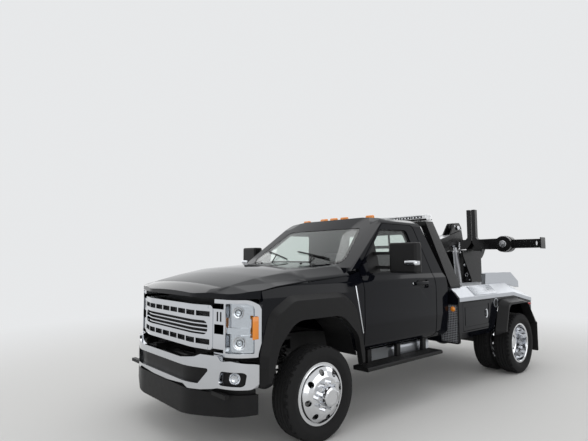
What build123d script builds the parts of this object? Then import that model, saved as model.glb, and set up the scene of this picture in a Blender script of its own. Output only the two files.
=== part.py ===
"""Light wrecker: a two-door cab on a ladder chassis with dual rear wheels. Its steel and aluminium
wrecker body carries a light pylon, a recovery boom and a self-loading wheel lift, stowed upright.

All sizes are millimetres. x runs to the truck's left, y runs rearwards and z up. The origin is on
the ground under the middle of the bounding box. Side outlines are lists of (y behind the front
axle, z), cross outlines are lists of (x, z) and plan outlines are lists of (x, y behind the axle).
"""

import os
from math import atan2, cos, degrees, hypot, radians, sin

from build123d import *

# Overall layout
overall_length = 5880
front_overhang = 980
wheelbase = 3690
front_axle_y = front_overhang - overall_length / 2
rear_axle = wheelbase

# Wheels and tyres
tyre_radius = 400
tyre_width = 226
rim_radius = 248
flange_radius = 262
rim_half_width = 88
wheel_outset = 143
lug_circle = 112.5
lug_count = 10
hand_hole_count = 8
hand_hole_radius = 26
hand_hole_circle = 192
front_track_half = 950
rear_hub_half = 940
kingpin_x = 860
running_clearance = 0.1
spindle_radius = 40
rear_spindle_radius = 45
pinion_nose = 240
pinion_height = 412
yoke_gap = 164
yoke_arm = 23

# Frame
rail_inner = 360
rail_outer = 430
rail_web = 8
frame_top_rear = 830
frame_end = 4450

# Cab
body_half = 1003
skin = 35
door_gap = 6
door_rear_gap = 12
door_front = 642
door_rear = 1896
door_bottom = 672
door_top = 1935
cab_back = 2150
sill_bottom = 650
floor_underside = 806
floor_thickness = 44
sill_width = 120
firewall_front = 570
firewall_back = 632
glass_thickness = 8
door_top_front = 1172

# Windshield: its face leans back and curves round the cab
screen_foot = (515, 1500)
screen_rise = 0.76
screen_radius = 5200
screen_recess = 5
screen_sheet = 12
screen_bottom_half = 788
screen_top = (600, 1892)

# Hood
hood_sheet = 26
hood_bottom = 1236
hood_tail = 474
hood_split = -606
dome_rise = 27
shut_gap = 6

# Wrecker body
box_front = 2205
box_half = 1100
box_inner = 600
box_wall = 25
box_bottom = 590
box_top = 1040
box_rear_wall = 3100
body_end = 4285
deck_half = 560
deck_top = 1000
deck_thickness = 40
rail_edge_height = 47
cap_top = 1205
cap_shoulder = 985
cap_sheet = 35
cap_bend = 3700
cap_tail_drop = 110
bulwark_top = 1360
flare_half = 1220

# Toolbox door
tool_door_front = 2315
tool_door_rear = 3010
tool_door_bottom = 690
tool_door_top = 1022
tool_door_thickness = 22

# Fuel filler
filler_centre = (3163, 972)
filler_ring_radius = 60
filler_cup_radius = 54
filler_cup_depth = 45
filler_ring_proud = 6
filler_wall = 5
filler_bore = 20
filler_neck_length = 60

# Recovery boom
boom_heel = (2850, 1590)
boom_slope = 14
boom_length = 1400
boom_half_width = 100
boom_half_height = 85
boom_wall = 10
boom_lug_at = 1290
boom_lug_drop = 60
cylinder_base = (4250, 1070)
cylinder_radius = 48
rod_radius = 25
eye_half = 22

# Wheel lift
tower_front = 4340
tower_rear = 4690
tower_half = 166
tower_plate = 20
tower_top = 1680
lift_pivot = (4600, 620)
stinger_half = (105, 125)
stinger_wall = 15
stinger_gap = 5
stinger_y = 4600
stinger_top = 1600
swivel_z = 1620
crossbar_z = 1790
crossbar_front = 4785
crossbar_depth = overall_length - front_overhang - crossbar_front
crossbar_half = 1120
crossbar_half_height = 70
claw_hub_x = 540
claw_hub_radius = 130
claw_front = 4702
claw_thickness = 76
claw_pin_radius = 35
claw_foot_top = 2400
claw_foot_width = 65
claw_foot_x = 12

os.makedirs("parts", exist_ok=True)


# Drawing planes and plain extrusions
def side_plane(x=0):
    """Side view at a given x, whose local x is the distance behind the front axle."""
    return Plane((x, front_axle_y, 0), x_dir=(0, 1, 0), z_dir=(1, 0, 0))


def cross_plane(y=0):
    """Front view at a distance behind the front axle, looking rearwards."""
    return Plane((0, front_axle_y + y, 0), x_dir=(1, 0, 0), z_dir=(0, -1, 0))


def plan_plane(z=0):
    """Plan view at a height, whose local y is the distance behind the front axle."""
    return Plane((0, front_axle_y, z), x_dir=(1, 0, 0), z_dir=(0, 0, 1))


def drawn(plane, points, length, radius=0, taper=0):
    """A closed outline with rounded corners, extruded from its plane."""
    with BuildPart() as solid:
        with BuildSketch(plane):
            with BuildLine():
                FilletPolyline(*points, radius=radius, close=True)
            make_face()
        extrude(amount=length, taper=taper)
    return solid.part


def side_slab(points, x_from, x_to, radius=0):
    return drawn(side_plane(x_from), points, x_to - x_from, radius)


def cross_slab(points, y_from, y_to, radius=0):
    return drawn(cross_plane(y_to), points, y_to - y_from, radius)


def plan_slab(points, z_from, z_to, radius=0):
    return drawn(plan_plane(z_from), points, z_to - z_from, radius)


def block(x, y, z, rounding=0):
    """A box from its three (low, high) pairs, with its upright edges rounded if asked."""
    with BuildPart() as solid:
        centre = ((x[0] + x[1]) / 2, front_axle_y + (y[0] + y[1]) / 2, (z[0] + z[1]) / 2)
        with Locations(centre):
            Box(x[1] - x[0], y[1] - y[0], z[1] - z[0])
        if rounding:
            fillet(solid.edges().filter_by(Axis.Z), rounding)
    return solid.part


def rod(start, end, radius):
    """A round bar between two (x, y behind the axle, z) points."""
    a = Vector(start[0], front_axle_y + start[1], start[2])
    b = Vector(end[0], front_axle_y + end[1], end[2])
    with BuildPart() as solid:
        with BuildSketch(Plane(a, z_dir=(b - a).normalized())):
            Circle(radius)
        extrude(amount=(b - a).length)
    return solid.part


def mirrored(points):
    """A half outline given from bottom to top on the left side, closed by its mirror image."""
    return points + [(-x, z) for x, z in reversed(points)]


def both(radii):
    """The corner radii that go with a mirrored outline."""
    return radii + radii[::-1]


# Outlines that several pieces share
body_section = mirrored(
    [(930, 650), (985, 705), (body_half, 900), (body_half, 1240), (986, 1330), (952, 1385),
     (802, 1950), (742, 2004), (420, 2034)]
)
body_section_radii = both([20, 80, 400, 60, 60, 60, 90, 120, 400])
cab_outline = [
    (door_front - 10, sill_bottom), (cab_back, sill_bottom), (cab_back, 1330), (1890, 1985),
    (1740, 2026), (1400, 2044), (1190, 2024), (1085, 1962), (480, 1474), (480, 1434), (door_front - 10, 1434),
]
cab_outline_radii = [0, 60, 160, 90, 200, 600, 200, 60, 0, 0, 0]
floor_top = floor_underside + floor_thickness
cavity_outline = [
    (firewall_back, floor_top), (cab_back - 55, floor_top),
    (cab_back - 55, 1320), (1842, 1948), (1400, 1998), (1190, 1925), (650, 1478), (firewall_back, 1380),
]
cavity_section = mirrored([(940, 840), (940, 1370), (905, 1400), (760, 1930), (700, 1962), (400, 1990)])
door_outline = [
    (door_front, door_bottom), (door_rear, door_bottom), (door_rear, 1390), (1735, door_top),
    (door_top_front, door_top), (door_front, 1450),
]
door_outline_radii = [40, 60, 80, 70, 60, 30]
window_outline = [(778, 1405), (1705, 1410), (1602, 1878), (1128, 1872), (778, 1545)]
window_radii = [30, 50, 60, 60, 40]
door_opening = [
    (door_front - 60, door_bottom - door_gap), (door_rear + door_rear_gap, door_bottom - door_gap),
    (door_rear + door_rear_gap, 1391), (1735 + door_rear_gap, door_top + door_gap),
    (door_top_front - door_gap, door_top + door_gap), (door_front - 8, 1456), (door_front - 60, 1456),
]
door_opening_radii = [0, 60, 80, 70, 60, 0, 0]
door_inner_section = mirrored([(898, 600), (898, 1372), (903, 1400), (752, 1960), (752, 2100)])
nose_plan = [
    (body_half, 700), (body_half, -560), (900, -790), (420, -905),
    (-420, -905), (-900, -790), (-body_half, -560), (-body_half, 700),
]
nose_radii = [0, 160, 240, 500, 500, 240, 160, 0]
front_arch = [
    (-566, 420), (-566, 560), (-470, 860), (-300, 1045), (260, 1045), (470, 850), (530, 560), (530, 420),
]
front_arch_radii = [0, 120, 200, 220, 220, 200, 120, 0]
front_flare = [
    (-628, 545), (-628, 800), (-540, 1120), (-330, 1250), (300, 1250), (480, 1130), (600, 700), (600, 545),
]
front_flare_radii = [0, 100, 180, 220, 220, 180, 100, 0]
rear_arch = [(3195, 480), (3195, 570), (3312, 942), (3890, 942), (4130, 610), (4130, 480)]
rear_arch_radii = [0, 200, 110, 110, 160, 0]
rear_flare = [(3130, 552), (3130, 620), (3262, 1018), (3700, 1018), (3915, 984), (4210, 640), (4210, 600)]
rear_flare_radii = [0, 120, 130, 200, 120, 60, 0]
shut_line = [(hood_split, 1300), (-450, 1322), (-100, 1352), (520, 1392)]


def body_volume(y_from, y_to):
    return cross_slab(body_section, y_from, y_to, body_section_radii)


# Chassis
def make_frame():
    """Two channel rails joined by crossmembers, with spring hangers and spring towers."""
    rail_outline = [
        (-860, 560), (-380, 560), (-250, 640), (420, 640), (700, 590), (2350, 590), (2750, 640),
        (frame_end, 640), (frame_end, frame_top_rear), (2650, frame_top_rear), (2300, 790),
        (650, 790), (400, 820), (-260, 820), (-400, 740), (-860, 740),
    ]
    with BuildPart() as frame:
        with BuildSketch(side_plane(rail_inner)) as outline:
            with BuildLine():
                FilletPolyline(*rail_outline, radius=[0] + [60] * 6 + [0, 0] + [60] * 6 + [0], close=True)
            make_face()
        extrude(amount=rail_outer - rail_inner)
        with BuildSketch(side_plane(rail_inner)):
            add(outline.sketch_local)
            offset(amount=-rail_web, mode=Mode.REPLACE)
        extrude(amount=rail_outer - rail_inner - rail_web, mode=Mode.SUBTRACT)
        mirror(about=Plane.YZ)
        # Crossmembers: (y, z, tube radius)
        for y, z, radius in [(-700, 650, 40), (560, 700, 40), (1500, 690, 45), (2500, 700, 45), (3150, 740, 45),
                             (4230, 740, 45)]:
            reach = rail_outer - rail_web
            add(rod((-reach, y, z), (reach, y, z), radius))
        for side in (-1, 1):
            low, high = sorted((side * rail_inner, side * rail_outer))
            for y_from, y_to in ((2895, 2955), (4325, 4385)):
                add(block((low, high), (y_from, y_to), (585, 660)))
            tower = sorted((side * (rail_outer - rail_web), side * 560))
            add(block(tower, (-75, 75), (792, 818)))
            for y_from, y_to in ((-75, -65), (65, 75)):
                add(block(tower, (y_from, y_to), (700, 818)))
    return frame.part


def make_driveline():
    """The engine as one plain block with its mounts, the gearbox behind it and the propeller shaft."""
    with BuildPart() as driveline:
        add(block((-280, 280), (-480, 340), (560, 1205)))
        add(block((-rail_inner, rail_inner), (-60, 40), (680, 760)))
        add(cross_slab(mirrored([(110, 430), (150, 480), (150, 600), (110, 640)]), 340, 1080, 20))
        add(rod((0, 1080, 540), (0, rear_axle - pinion_nose - 2.5, pinion_height), 45))
    return driveline.part


def make_front_axle():
    """The driven beam axle: tubes, an offset differential and a forked yoke at each end."""
    with BuildPart() as axle:
        add(rod((-790, 0, tyre_radius), (790, 0, tyre_radius), 45))
        with Locations((230, front_axle_y, tyre_radius)):
            Sphere(125)
        add(rod((230, -160, tyre_radius), (230, 60, tyre_radius), 85))
        for side in (-1, 1):
            web = sorted((side * 765, side * 795))
            arm = sorted((side * 765, side * (kingpin_x + 26)))
            reach = yoke_gap / 2 + yoke_arm
            add(block(web, (-45, 45), (tyre_radius - reach, tyre_radius + reach)))
            for z in ((tyre_radius - reach, tyre_radius - yoke_gap / 2),
                      (tyre_radius + yoke_gap / 2, tyre_radius + reach)):
                add(block(arm, (-36, 36), z))
            add(block(sorted((side * 425, side * 555)), (-65, 65), (tyre_radius + 30, tyre_radius + 60)))
            with Locations((side * kingpin_x, front_axle_y, tyre_radius)):
                Cylinder(16 + running_clearance, 260, mode=Mode.SUBTRACT)
    return axle.part


def make_rear_axle():
    """The live rear axle: tubes with spindles for the dual wheels and the differential in the middle."""
    y = rear_axle
    with BuildPart() as axle:
        add(rod((-800, y, tyre_radius), (800, y, tyre_radius), 68))
        add(rod((-995, y, tyre_radius), (995, y, tyre_radius), rear_spindle_radius))
        with Locations((0, front_axle_y + y, tyre_radius)):
            Sphere(170)
        add(rod((0, y - pinion_nose, pinion_height), (0, y, pinion_height), 90))
        for side in (-1, 1):
            add(block(sorted((side * 352, side * 438)), (y - 90, y + 90), (tyre_radius + 20, tyre_radius + 82)))
    return axle.part


def make_springs():
    """Front coils over their dampers, and rear leaf packs."""
    with BuildPart() as springs:
        seat, top = tyre_radius + 60, 792
        for side in (-1, 1):
            x = side * 495
            add(rod((x, 0, seat), (x, 0, top), 40))
            turns = 7
            pitch = (top - seat - 24) / (turns - 1)
            with Locations(*[(x, front_axle_y, seat + 12 + pitch * i) for i in range(turns)]):
                Torus(48, 10)
            leaf = [(2925, 560), (3400, 500), (3980, 500), (4355, 560), (4355, 585), (3990, 532), (3390, 532),
                    (2925, 585)]
            add(side_slab(leaf, *sorted((side * 358, side * 432)), radius=[4, 300, 300, 4, 4, 300, 300, 4]))
            add(block(sorted((side * 358, side * 432)), (3600, 3780), (tyre_radius + 82, 545)))
    return springs.part


def make_fuel_tank():
    """The tank hung outside the left rail, with two straps."""
    with BuildPart() as tank:
        add(cross_slab([(430, 430), (850, 430), (850, 640), (430, 640)], 1180, 1950, [0, 60, 60, 0]))
        for y in (1380, 1740):
            add(cross_slab([(430, 424), (856, 424), (856, 646), (430, 646)], y, y + 40, [0, 60, 60, 0]))
    return tank.part


def make_exhaust():
    """The silencer on the right rail, with its tailpipe turned out ahead of the rear wheels."""
    with BuildPart() as exhaust:
        add(cross_slab([(-480, 440), (-720, 440), (-720, 590), (-480, 590)], 1250, 2000, 60))
        with BuildLine():
            route = FilletPolyline(
                (-560, front_axle_y + 1990, 520), (-560, front_axle_y + 2900, 520),
                (-1060, front_axle_y + 3060, 500), radius=150,
            )
        with BuildSketch(Plane(route @ 0, z_dir=route % 0)):
            Circle(38)
        sweep(path=route.wire())
        add(rod((-560, 600, 560), (-560, 1260, 520), 38))
        for y in (1450, 1850):
            add(block((-500, -rail_outer), (y, y + 30), (560, 640)))
        add(block((-600, -rail_outer), (2600, 2630), (535, 640)))
    return exhaust.part


def make_running_boards():
    """A step under each door, hung from the sill on three brackets."""
    with BuildPart() as boards:
        for side in (-1, 1):
            tread = [(875, 480), (1062, 484), (1062, 512), (1050, 522), (875, 522)]
            add(cross_slab([(side * x, z) for x, z in tread], 600, 1905, 6))
            for y in (760, 1240, 1720):
                add(block(sorted((side * 885, side * 925)), (y, y + 60), (520, sill_bottom)))
    return boards.part


# Cab
def make_cab_shell():
    """Floor, firewall, cowl, pillars, roof and back wall, with the door and window openings cut."""
    with BuildPart() as shell:
        add(side_slab(cab_outline, -1010, 1010, cab_outline_radii))
        add(body_volume(400, cab_back + 10), mode=Mode.INTERSECT)
        add(screen_space(0, 600, 2100), mode=Mode.INTERSECT)
        with BuildPart(mode=Mode.PRIVATE) as cavity:
            add(side_slab(cavity_outline, -1000, 1000, [20, 40, 120, 60, 300, 60, 0, 0]))
            add(cross_slab(cavity_section, 400, 2200, 30), mode=Mode.INTERSECT)
        add(cavity.part, mode=Mode.SUBTRACT)
        for side in (-1, 1):
            add(side_slab(door_opening, *sorted((side * 700, side * 1050)), radius=door_opening_radii),
                mode=Mode.SUBTRACT)
        add(screen_opening(), mode=Mode.SUBTRACT)
        add(cross_slab(mirrored([(640, 1430), (560, 1850)]), 1800, 2200, 40), mode=Mode.SUBTRACT)
        under = body_half - sill_width
        add(block((-under, under), (500, cab_back + 10), (600, floor_underside)), mode=Mode.SUBTRACT)
        add(block((-945, 945), (firewall_front, firewall_back), (floor_underside, 1300)))
        add(block((-905, 905), (480, firewall_back), (1395, 1425)))
        add(block((-905, 905), (firewall_front, firewall_back), (1290, 1425)))
        add(block((-905, 905), (480, 500), (1395, 1466)))
        for side in (-1, 1):
            add(block(sorted((side * 880, side * 905)), (480, 640), (1395, 1466)))
    return shell.part


def screen_space(recess, z_from, z_to):
    """All that lies behind the windshield's curved and leaning face, moved back by a recess."""
    foot_y, foot_z = screen_foot
    reach = 1100
    middle = foot_y + (z_from - foot_z) / screen_rise + recess
    end = middle + screen_radius - (screen_radius**2 - reach**2) ** 0.5
    lean = Vector(0, 1 / screen_rise, 1)
    with BuildPart() as space:
        with BuildSketch(plan_plane(z_from)):
            with BuildLine():
                ThreePointArc((-reach, end), (0, middle), (reach, end))
                Polyline((reach, end), (reach, middle + 4200), (-reach, middle + 4200), (-reach, end))
            make_face()
        extrude(amount=(z_to - z_from) * lean.length, dir=lean.normalized())
    return space.part


def screen_opening():
    """The windshield's outline seen from the front, through the front of the cab only."""
    outline = mirrored([(screen_bottom_half, screen_foot[1]), screen_top])
    return cross_slab(outline, 400, 1250, 60)


def make_cab_glass():
    """The bonded windshield and the back window."""
    with BuildPart() as glass:
        add(screen_space(screen_recess, 1480, 1920))
        add(screen_space(screen_recess + screen_sheet, 1470, 1930), mode=Mode.SUBTRACT)
        add(screen_opening(), mode=Mode.INTERSECT)
        with BuildPart(mode=Mode.PRIVATE) as back:
            slope = (1890 - cab_back) / (1985 - 1330)
            low = cab_back + slope * (1400 - 1330) - 28
            high = cab_back + slope * (1880 - 1330) - 28
            add(side_slab([(low, 1400), (high, 1880), (high - 9, 1880), (low - 9, 1400)], -700, 700))
            add(cross_slab(mirrored([(640, 1430), (560, 1850)]), 1800, 2200, 40), mode=Mode.INTERSECT)
        add(back.part)
    return glass.part


def make_roof_lamps():
    """Five small clearance lamps seated along the front of the roof."""
    with BuildPart() as lamps:
        # Places: x, y
        for lamp_x, lamp_y in ((0, 1262), (172, 1266), (-172, 1266), (534, 1308), (-534, 1308)):
            with BuildSketch(plan_plane(1980)):
                with Locations((lamp_x, lamp_y)):
                    SlotOverall(118, 46)
            extrude(amount=74)
        fillet(lamps.edges().group_by(Axis.Z)[-1], 14)
        add(make_cab_shell(), mode=Mode.SUBTRACT)
    return lamps.part


def make_dashboard():
    """The instrument panel with the steering column and wheel on the left."""
    with BuildPart() as dash:
        panel = [(firewall_back, 1040), (firewall_back, 1375), (700, 1425), (850, 1405), (905, 1320),
                 (905, 1220), (780, 1040)]
        add(side_slab(panel, -870, 870, [0, 0, 40, 40, 60, 60, 20]))
        hub = Vector(400, front_axle_y + 1070, 1345)
        column = Vector(0, 0.88, 0.475).normalized()
        with BuildSketch(Plane(hub - column * 240, z_dir=column)):
            Circle(28)
        extrude(amount=250)
        with BuildSketch(Plane(hub, z_dir=column)):
            Circle(52)
            Rectangle(350, 34)
        extrude(amount=14)
        with Locations(Plane(hub + column * 7, z_dir=column)):
            Torus(186, 15)
    return dash.part


def make_seat():
    """The bench seat: a cushion on its base and a leaning back."""
    with BuildPart() as seat:
        outline = [(1260, 960), (1240, 1120), (1290, 1170), (1690, 1130), (1810, 1640), (1900, 1640),
                   (1810, 1020), (1790, 960)]
        add(side_slab(outline, -740, 740, [20, 40, 50, 60, 40, 40, 80, 20]))
        add(block((-600, 600), (1320, 1740), (floor_top, 970)))
    return seat.part


def make_door(side):
    """A whole door: deep below the belt, a thin frame round the window above it."""
    with BuildPart() as door:
        add(side_slab(door_outline, *sorted((side * 600, side * 1010)), radius=door_outline_radii))
        add(body_volume(door_front - 20, door_rear + 20), mode=Mode.INTERSECT)
        add(cross_slab(door_inner_section, door_front - 20, door_rear + 20), mode=Mode.SUBTRACT)
        add(side_slab(window_outline, *sorted((side * 700, side * 1010)), radius=window_radii),
            mode=Mode.SUBTRACT)
        # Recess behind the pull handle, and the handle across it
        recess = [(1580, 1222), (1750, 1222), (1750, 1312), (1580, 1312)]
        add(side_slab(recess, *sorted((side * 978, side * 1010)), radius=24), mode=Mode.SUBTRACT)
        add(block(sorted((side * 984, side * 1004)), (1570, 1760), (1266, 1292)))
    return door.part


def make_door_glass(side):
    """The side window, set into the middle of the frame."""
    outer = [(932, 1380), (782, 1945)]
    pane = outer + [(x - glass_thickness, z) for x, z in reversed(outer)]
    with BuildPart() as glass:
        add(cross_slab([(side * x, z) for x, z in pane], 700, 1800))
        add(side_slab(window_outline, *sorted((side * 700, side * 1010)), radius=window_radii),
            mode=Mode.INTERSECT)
    return glass.part


def make_mirror(side):
    """The towing mirror on two arms from the door's front window corner."""
    with BuildPart() as mirror_part:
        shell = [(1118, 868), (1420, 880), (1436, 960), (1400, 1000), (1130, 1000), (1112, 960)]
        head = plan_slab([(side * x, y) for x, y in shell], 1412, 1708, [30, 30, 30, 15, 15, 30])
        add(head)
        fillet(mirror_part.edges().group_by(Axis.Z)[-1], 22)
        fillet(mirror_part.edges().group_by(Axis.Z)[0], 22)
        with BuildPart(mode=Mode.PRIVATE) as arms:
            for z in ((1448, 1480), (1592, 1622)):
                add(block(sorted((side * 850, side * 1140)), (905, 960), z))
            add(body_volume(door_front, door_rear), mode=Mode.SUBTRACT)
        add(arms.part)
        with BuildPart(mode=Mode.PRIVATE) as foot:
            add(side_slab(window_outline, *sorted((side * 700, side * 1010)), radius=window_radii))
            add(block(sorted((side * 700, side * 1010)), (700, 966), (1300, 1900)), mode=Mode.INTERSECT)
            add(body_volume(door_front, door_rear), mode=Mode.INTERSECT)
            add(cross_slab([(side * x, z) for x, z in ((1100, 1380), (1100, 1945), (787, 1945), (937, 1380))],
                           700, 1100), mode=Mode.INTERSECT)
        add(foot.part)
    return mirror_part.part


# Front end
def hood_volume(inset):
    """The hood's lofted crown, whose raised middle fades into the nose, set in by an inset."""
    # Columns: y, shoulder x and z, crest x and z, crease x and z
    stations = (
        (-930, 992, 1215, 690, 1225, 640, 1236),
        (-820, 991, 1250, 695, 1284, 650, 1297),
        (-700, 990, 1285, 715, 1326, 680, 1333),
        (-450, 985, 1330, 872, 1350, 705, 1388),
        (-100, 966, 1362, 945, 1380, 770, 1443),
        (520, 947, 1402, 930, 1416, 800, 1490),
    )
    with BuildPart() as crown:
        for y, shoulder_x, shoulder_z, crest_x, crest_z, crease_x, crease_z in stations:
            half = [
                (shoulder_x - inset, 1150 - inset), (shoulder_x - inset, shoulder_z - inset),
                (crest_x - inset / 2, crest_z - inset), (crease_x - inset / 2, crease_z - inset),
            ]
            other = [(-x, z) for x, z in half]
            with BuildSketch(cross_plane(y)):
                with BuildLine():
                    Polyline(*half)
                    ThreePointArc(half[-1], (0, crease_z + dome_rise - inset), other[-1])
                    Polyline(*other[::-1])
                    Line(other[0], half[0])
                make_face()
        loft(ruled=True)
    return crown.part


def make_hood():
    """The hood: a lofted crown with a raised middle, its sides turned down to the fender line."""
    with BuildPart() as hood:
        add(hood_volume(0))
        add(nose_space(0, hood_bottom, 1560), mode=Mode.INTERSECT)
        with BuildPart(mode=Mode.PRIVATE) as hollow:
            add(hood_volume(hood_sheet))
            add(nose_space(hood_sheet + 2, hood_bottom - 60, 1560), mode=Mode.INTERSECT)
        add(hollow.part, mode=Mode.SUBTRACT)
        add(block((-1100, 1100), (hood_tail, 800), (1100, 1600)), mode=Mode.SUBTRACT)
        below = [(hood_split, 1100)] + shut_line + [(520, 1100)]
        add(side_slab(below, -1100, 1100), mode=Mode.SUBTRACT)
    return hood.part


def make_front_fenders():
    """The outer skins from the lamps to the doors, open over the wheels."""
    top = [(y, z - shut_gap) for y, z in shut_line[:-1]]
    outline = [(-600, 640), (-600, 1226)] + top + [(hood_tail, 1388), (door_front - 10, 1424),
                                                  (door_front - 10, 660), (500, 660)]
    with BuildPart() as fenders:
        for side in (-1, 1):
            with BuildPart(mode=Mode.PRIVATE) as skin_part:
                add(side_slab(outline, *sorted((side * 900, side * 1010))))
                add(body_volume(-700, 700), mode=Mode.INTERSECT)
                add(cross_slab(mirrored([(body_half - skin, 500), (body_half - skin, 1232), (950, 1310),
                                         (912, 1392), (890, 1500)]), -700, 700), mode=Mode.SUBTRACT)
                add(side_slab(front_arch, *sorted((side * 880, side * 1020)), radius=front_arch_radii),
                    mode=Mode.SUBTRACT)
            add(skin_part.part)
    return fenders.part


def make_wheel_liners():
    """Moulded liners over the front wheels, from the frame side to the fender."""
    with BuildPart() as liners:
        for side in (-1, 1):
            with BuildPart(mode=Mode.PRIVATE) as liner:
                grown = [(-582, 640), (-482, 868), (-308, 1061), (268, 1061), (484, 862), (546, 640)]
                plain = [(-566, 630), (-470, 860), (-300, 1045), (260, 1045), (470, 850), (530, 630)]
                reach = sorted((side * 600, side * (body_half - skin)))
                add(side_slab(grown, *reach, radius=[0, 200, 220, 220, 200, 0]))
                add(side_slab(plain, *sorted((side * 590, side * 1010)), radius=[0, 200, 220, 220, 200, 0]),
                    mode=Mode.SUBTRACT)
            add(liner.part)
    return liners.part


def make_wheel_flares():
    """Four wide arch flares that stand out over the tyres."""
    with BuildPart() as flares:
        for side in (-1, 1):
            axis = (1, 0, 0) if side > 0 else (-1, 0, 0)
            # Outline, its radii, opening, its radii, inner x, depth, taper
            for outline, radii, opening, open_radii, foot, depth, taper in (
                (front_flare, front_flare_radii, front_arch, front_arch_radii, body_half, 62, 35),
                (rear_flare, rear_flare_radii, rear_arch, rear_arch_radii, box_half, flare_half - box_half, 22),
            ):
                plane = Plane((side * foot, front_axle_y, 0), x_dir=(0, 1, 0), z_dir=axis)
                flip = 1 if side > 0 else -1
                with BuildPart(mode=Mode.PRIVATE) as flare:
                    add(drawn(plane, [(y, flip * z) for y, z in outline], depth, radii, taper))
                    hole = sorted((side * (foot - 5), side * (foot + depth + 5)))
                    add(side_slab(opening, *hole, radius=open_radii), mode=Mode.SUBTRACT)
                    add(block((-1300, 1300), (-900, 4400), (300, 560)), mode=Mode.SUBTRACT)
                add(flare.part)
    return flares.part


def nose_space(inset, z_from, z_to):
    """All that lies behind the curved front of the truck, set back by an inset."""
    plan = [(x - (inset if x > 0 else -inset), y + (inset if y < 0 else 0)) for x, y in nose_plan]
    return plan_slab(plan, z_from, z_to, nose_radii)


def nose_band(inset, depth, z_from, z_to):
    """The space between the curved front of the truck and a curve set back from it."""
    with BuildPart() as band:
        add(nose_space(inset, z_from, z_to))
        add(nose_space(inset + depth, z_from - 1, z_to + 1), mode=Mode.SUBTRACT)
        add(block((-1200, 1200), (-600, 800), (z_from - 1, z_to + 1)), mode=Mode.SUBTRACT)
    return band.part


bumper_end = -636
grille_half = 650
grille_bottom = 820
grille_top = 1176


def make_grille():
    """A deep frame: heavy bars with windows between, a racetrack of slim bars, and a clasp each side."""
    face = mirrored([(grille_half, grille_bottom), (grille_half, grille_top)])
    with BuildPart() as grille:
        add(nose_band(4, 46, grille_bottom, grille_top))
        add(cross_slab(face, -960, -560, 30), mode=Mode.INTERSECT)
        with BuildPart(mode=Mode.PRIVATE) as clasps:
            add(nose_band(8, 50, 834, 1150))
            for side in (-1, 1):
                add(block(sorted((side * 690, side * 706)), (-1000, -560), (1052, 1128)), mode=Mode.SUBTRACT)
                add(block(sorted((side * 726, side * 742)), (-1000, -560), (1052, 1128)), mode=Mode.SUBTRACT)
                add(block(sorted((side * 664, side * 800)), (-1000, -560), (952, 1028)), mode=Mode.SUBTRACT)
                add(block(sorted((side * 768, side * 1100)), (-1000, -560), (800, 1200)), mode=Mode.SUBTRACT)
            add(block((-630, 630), (-1000, -560), (800, 1200)), mode=Mode.SUBTRACT)
        add(clasps.part)
        # Window rows: low z, high z
        for low, high in ((858, 902), (1084, 1126)):
            for left, right in ((9, 141), (159, 291), (309, 441), (459, 618)):
                for side in (-1, 1):
                    add(block(sorted((side * left, side * right)), (-1000, -560), (low, high)), mode=Mode.SUBTRACT)
        # The racetrack: an open slot with rounded ends, crossed by slim bars
        track = mirrored([(594, 936), (594, 1049)])
        add(cross_slab(track, -1000, -560, 50), mode=Mode.SUBTRACT)
        with BuildPart(mode=Mode.PRIVATE) as slim_bars:
            add(nose_band(14, 26, 900, 1100))
            add(cross_slab(mirrored([(600, 900), (600, 1100)]), -960, -560), mode=Mode.INTERSECT)
            # Spaces between the slim bars: low z, high z
            for low, high in ((890, 948), (958, 981), (991, 1015), (1025, 1110)):
                add(block((-700, 700), (-1000, -560), (low, high)), mode=Mode.SUBTRACT)
        add(slim_bars.part)
        for z in ((grille_bottom, grille_bottom + 18), (grille_top - 26, grille_top)):
            add(block((-600, 600), (-860, -600), z))
    return grille.part


def make_headlamps():
    """Upright lamp bodies that wrap round the corners: a rim round a recess that holds two lamp units."""
    outline = [(776, 782), (972, 782), (986, 800), (990, 1130), (978, 1190), (945, 1228), (776, 1228)]
    with BuildPart() as lamps:
        for side in (-1, 1):
            with BuildPart(mode=Mode.PRIVATE) as lamp:
                add(nose_space(0, 700, 1300))
                add(cross_slab([(side * x, z) for x, z in outline], -960, -600, [10, 10, 20, 60, 40, 40, 20]),
                    mode=Mode.INTERSECT)
                with BuildPart(mode=Mode.PRIVATE) as recess:
                    window = [(794, 812), (966, 812), (968, 1130), (958, 1180), (936, 1200), (794, 1200)]
                    add(cross_slab([(side * x, z) for x, z in window], -1000, -650, 14))
                    add(nose_space(45, 700, 1300), mode=Mode.SUBTRACT)
                add(recess.part, mode=Mode.SUBTRACT)
            with BuildPart(mode=Mode.PRIVATE) as units:
                # Lamp units and the bar between them: x, z
                for x, z, corner in (((832, 952), (1076, 1180), 26), ((842, 958), (838, 952), 26),
                                     ((786, 972), (962, 1008), 4)):
                    unit = [(side * x[0], z[0]), (side * x[1], z[0]), (side * x[1], z[1]), (side * x[0], z[1])]
                    add(cross_slab(unit, -960, -640, corner))
                add(nose_space(14, 700, 1300), mode=Mode.INTERSECT)
            with BuildPart(mode=Mode.PRIVATE) as arms:
                add(nose_band(4, 46, 782, 1228))
                for side_of, low, high in ((side, 808, 1196),):
                    add(block((-1100, 1100), (-1000, -560), (low, high)), mode=Mode.SUBTRACT)
                reach = [(side * 670, 770), (side * 800, 770), (side * 800, 1240), (side * 670, 1240)]
                add(cross_slab(reach, -960, -600), mode=Mode.INTERSECT)
            add(lamp.part)
            add(units.part)
            add(arms.part)
    return lamps.part


def bumper_plan(grow):
    half = 1008 + grow
    face = -front_overhang - grow
    return [(half, -500), (half, -640), (930 + grow, -800), (460, face), (-460, face), (-930 - grow, -800),
            (-half, -640), (-half, -500)]


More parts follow.
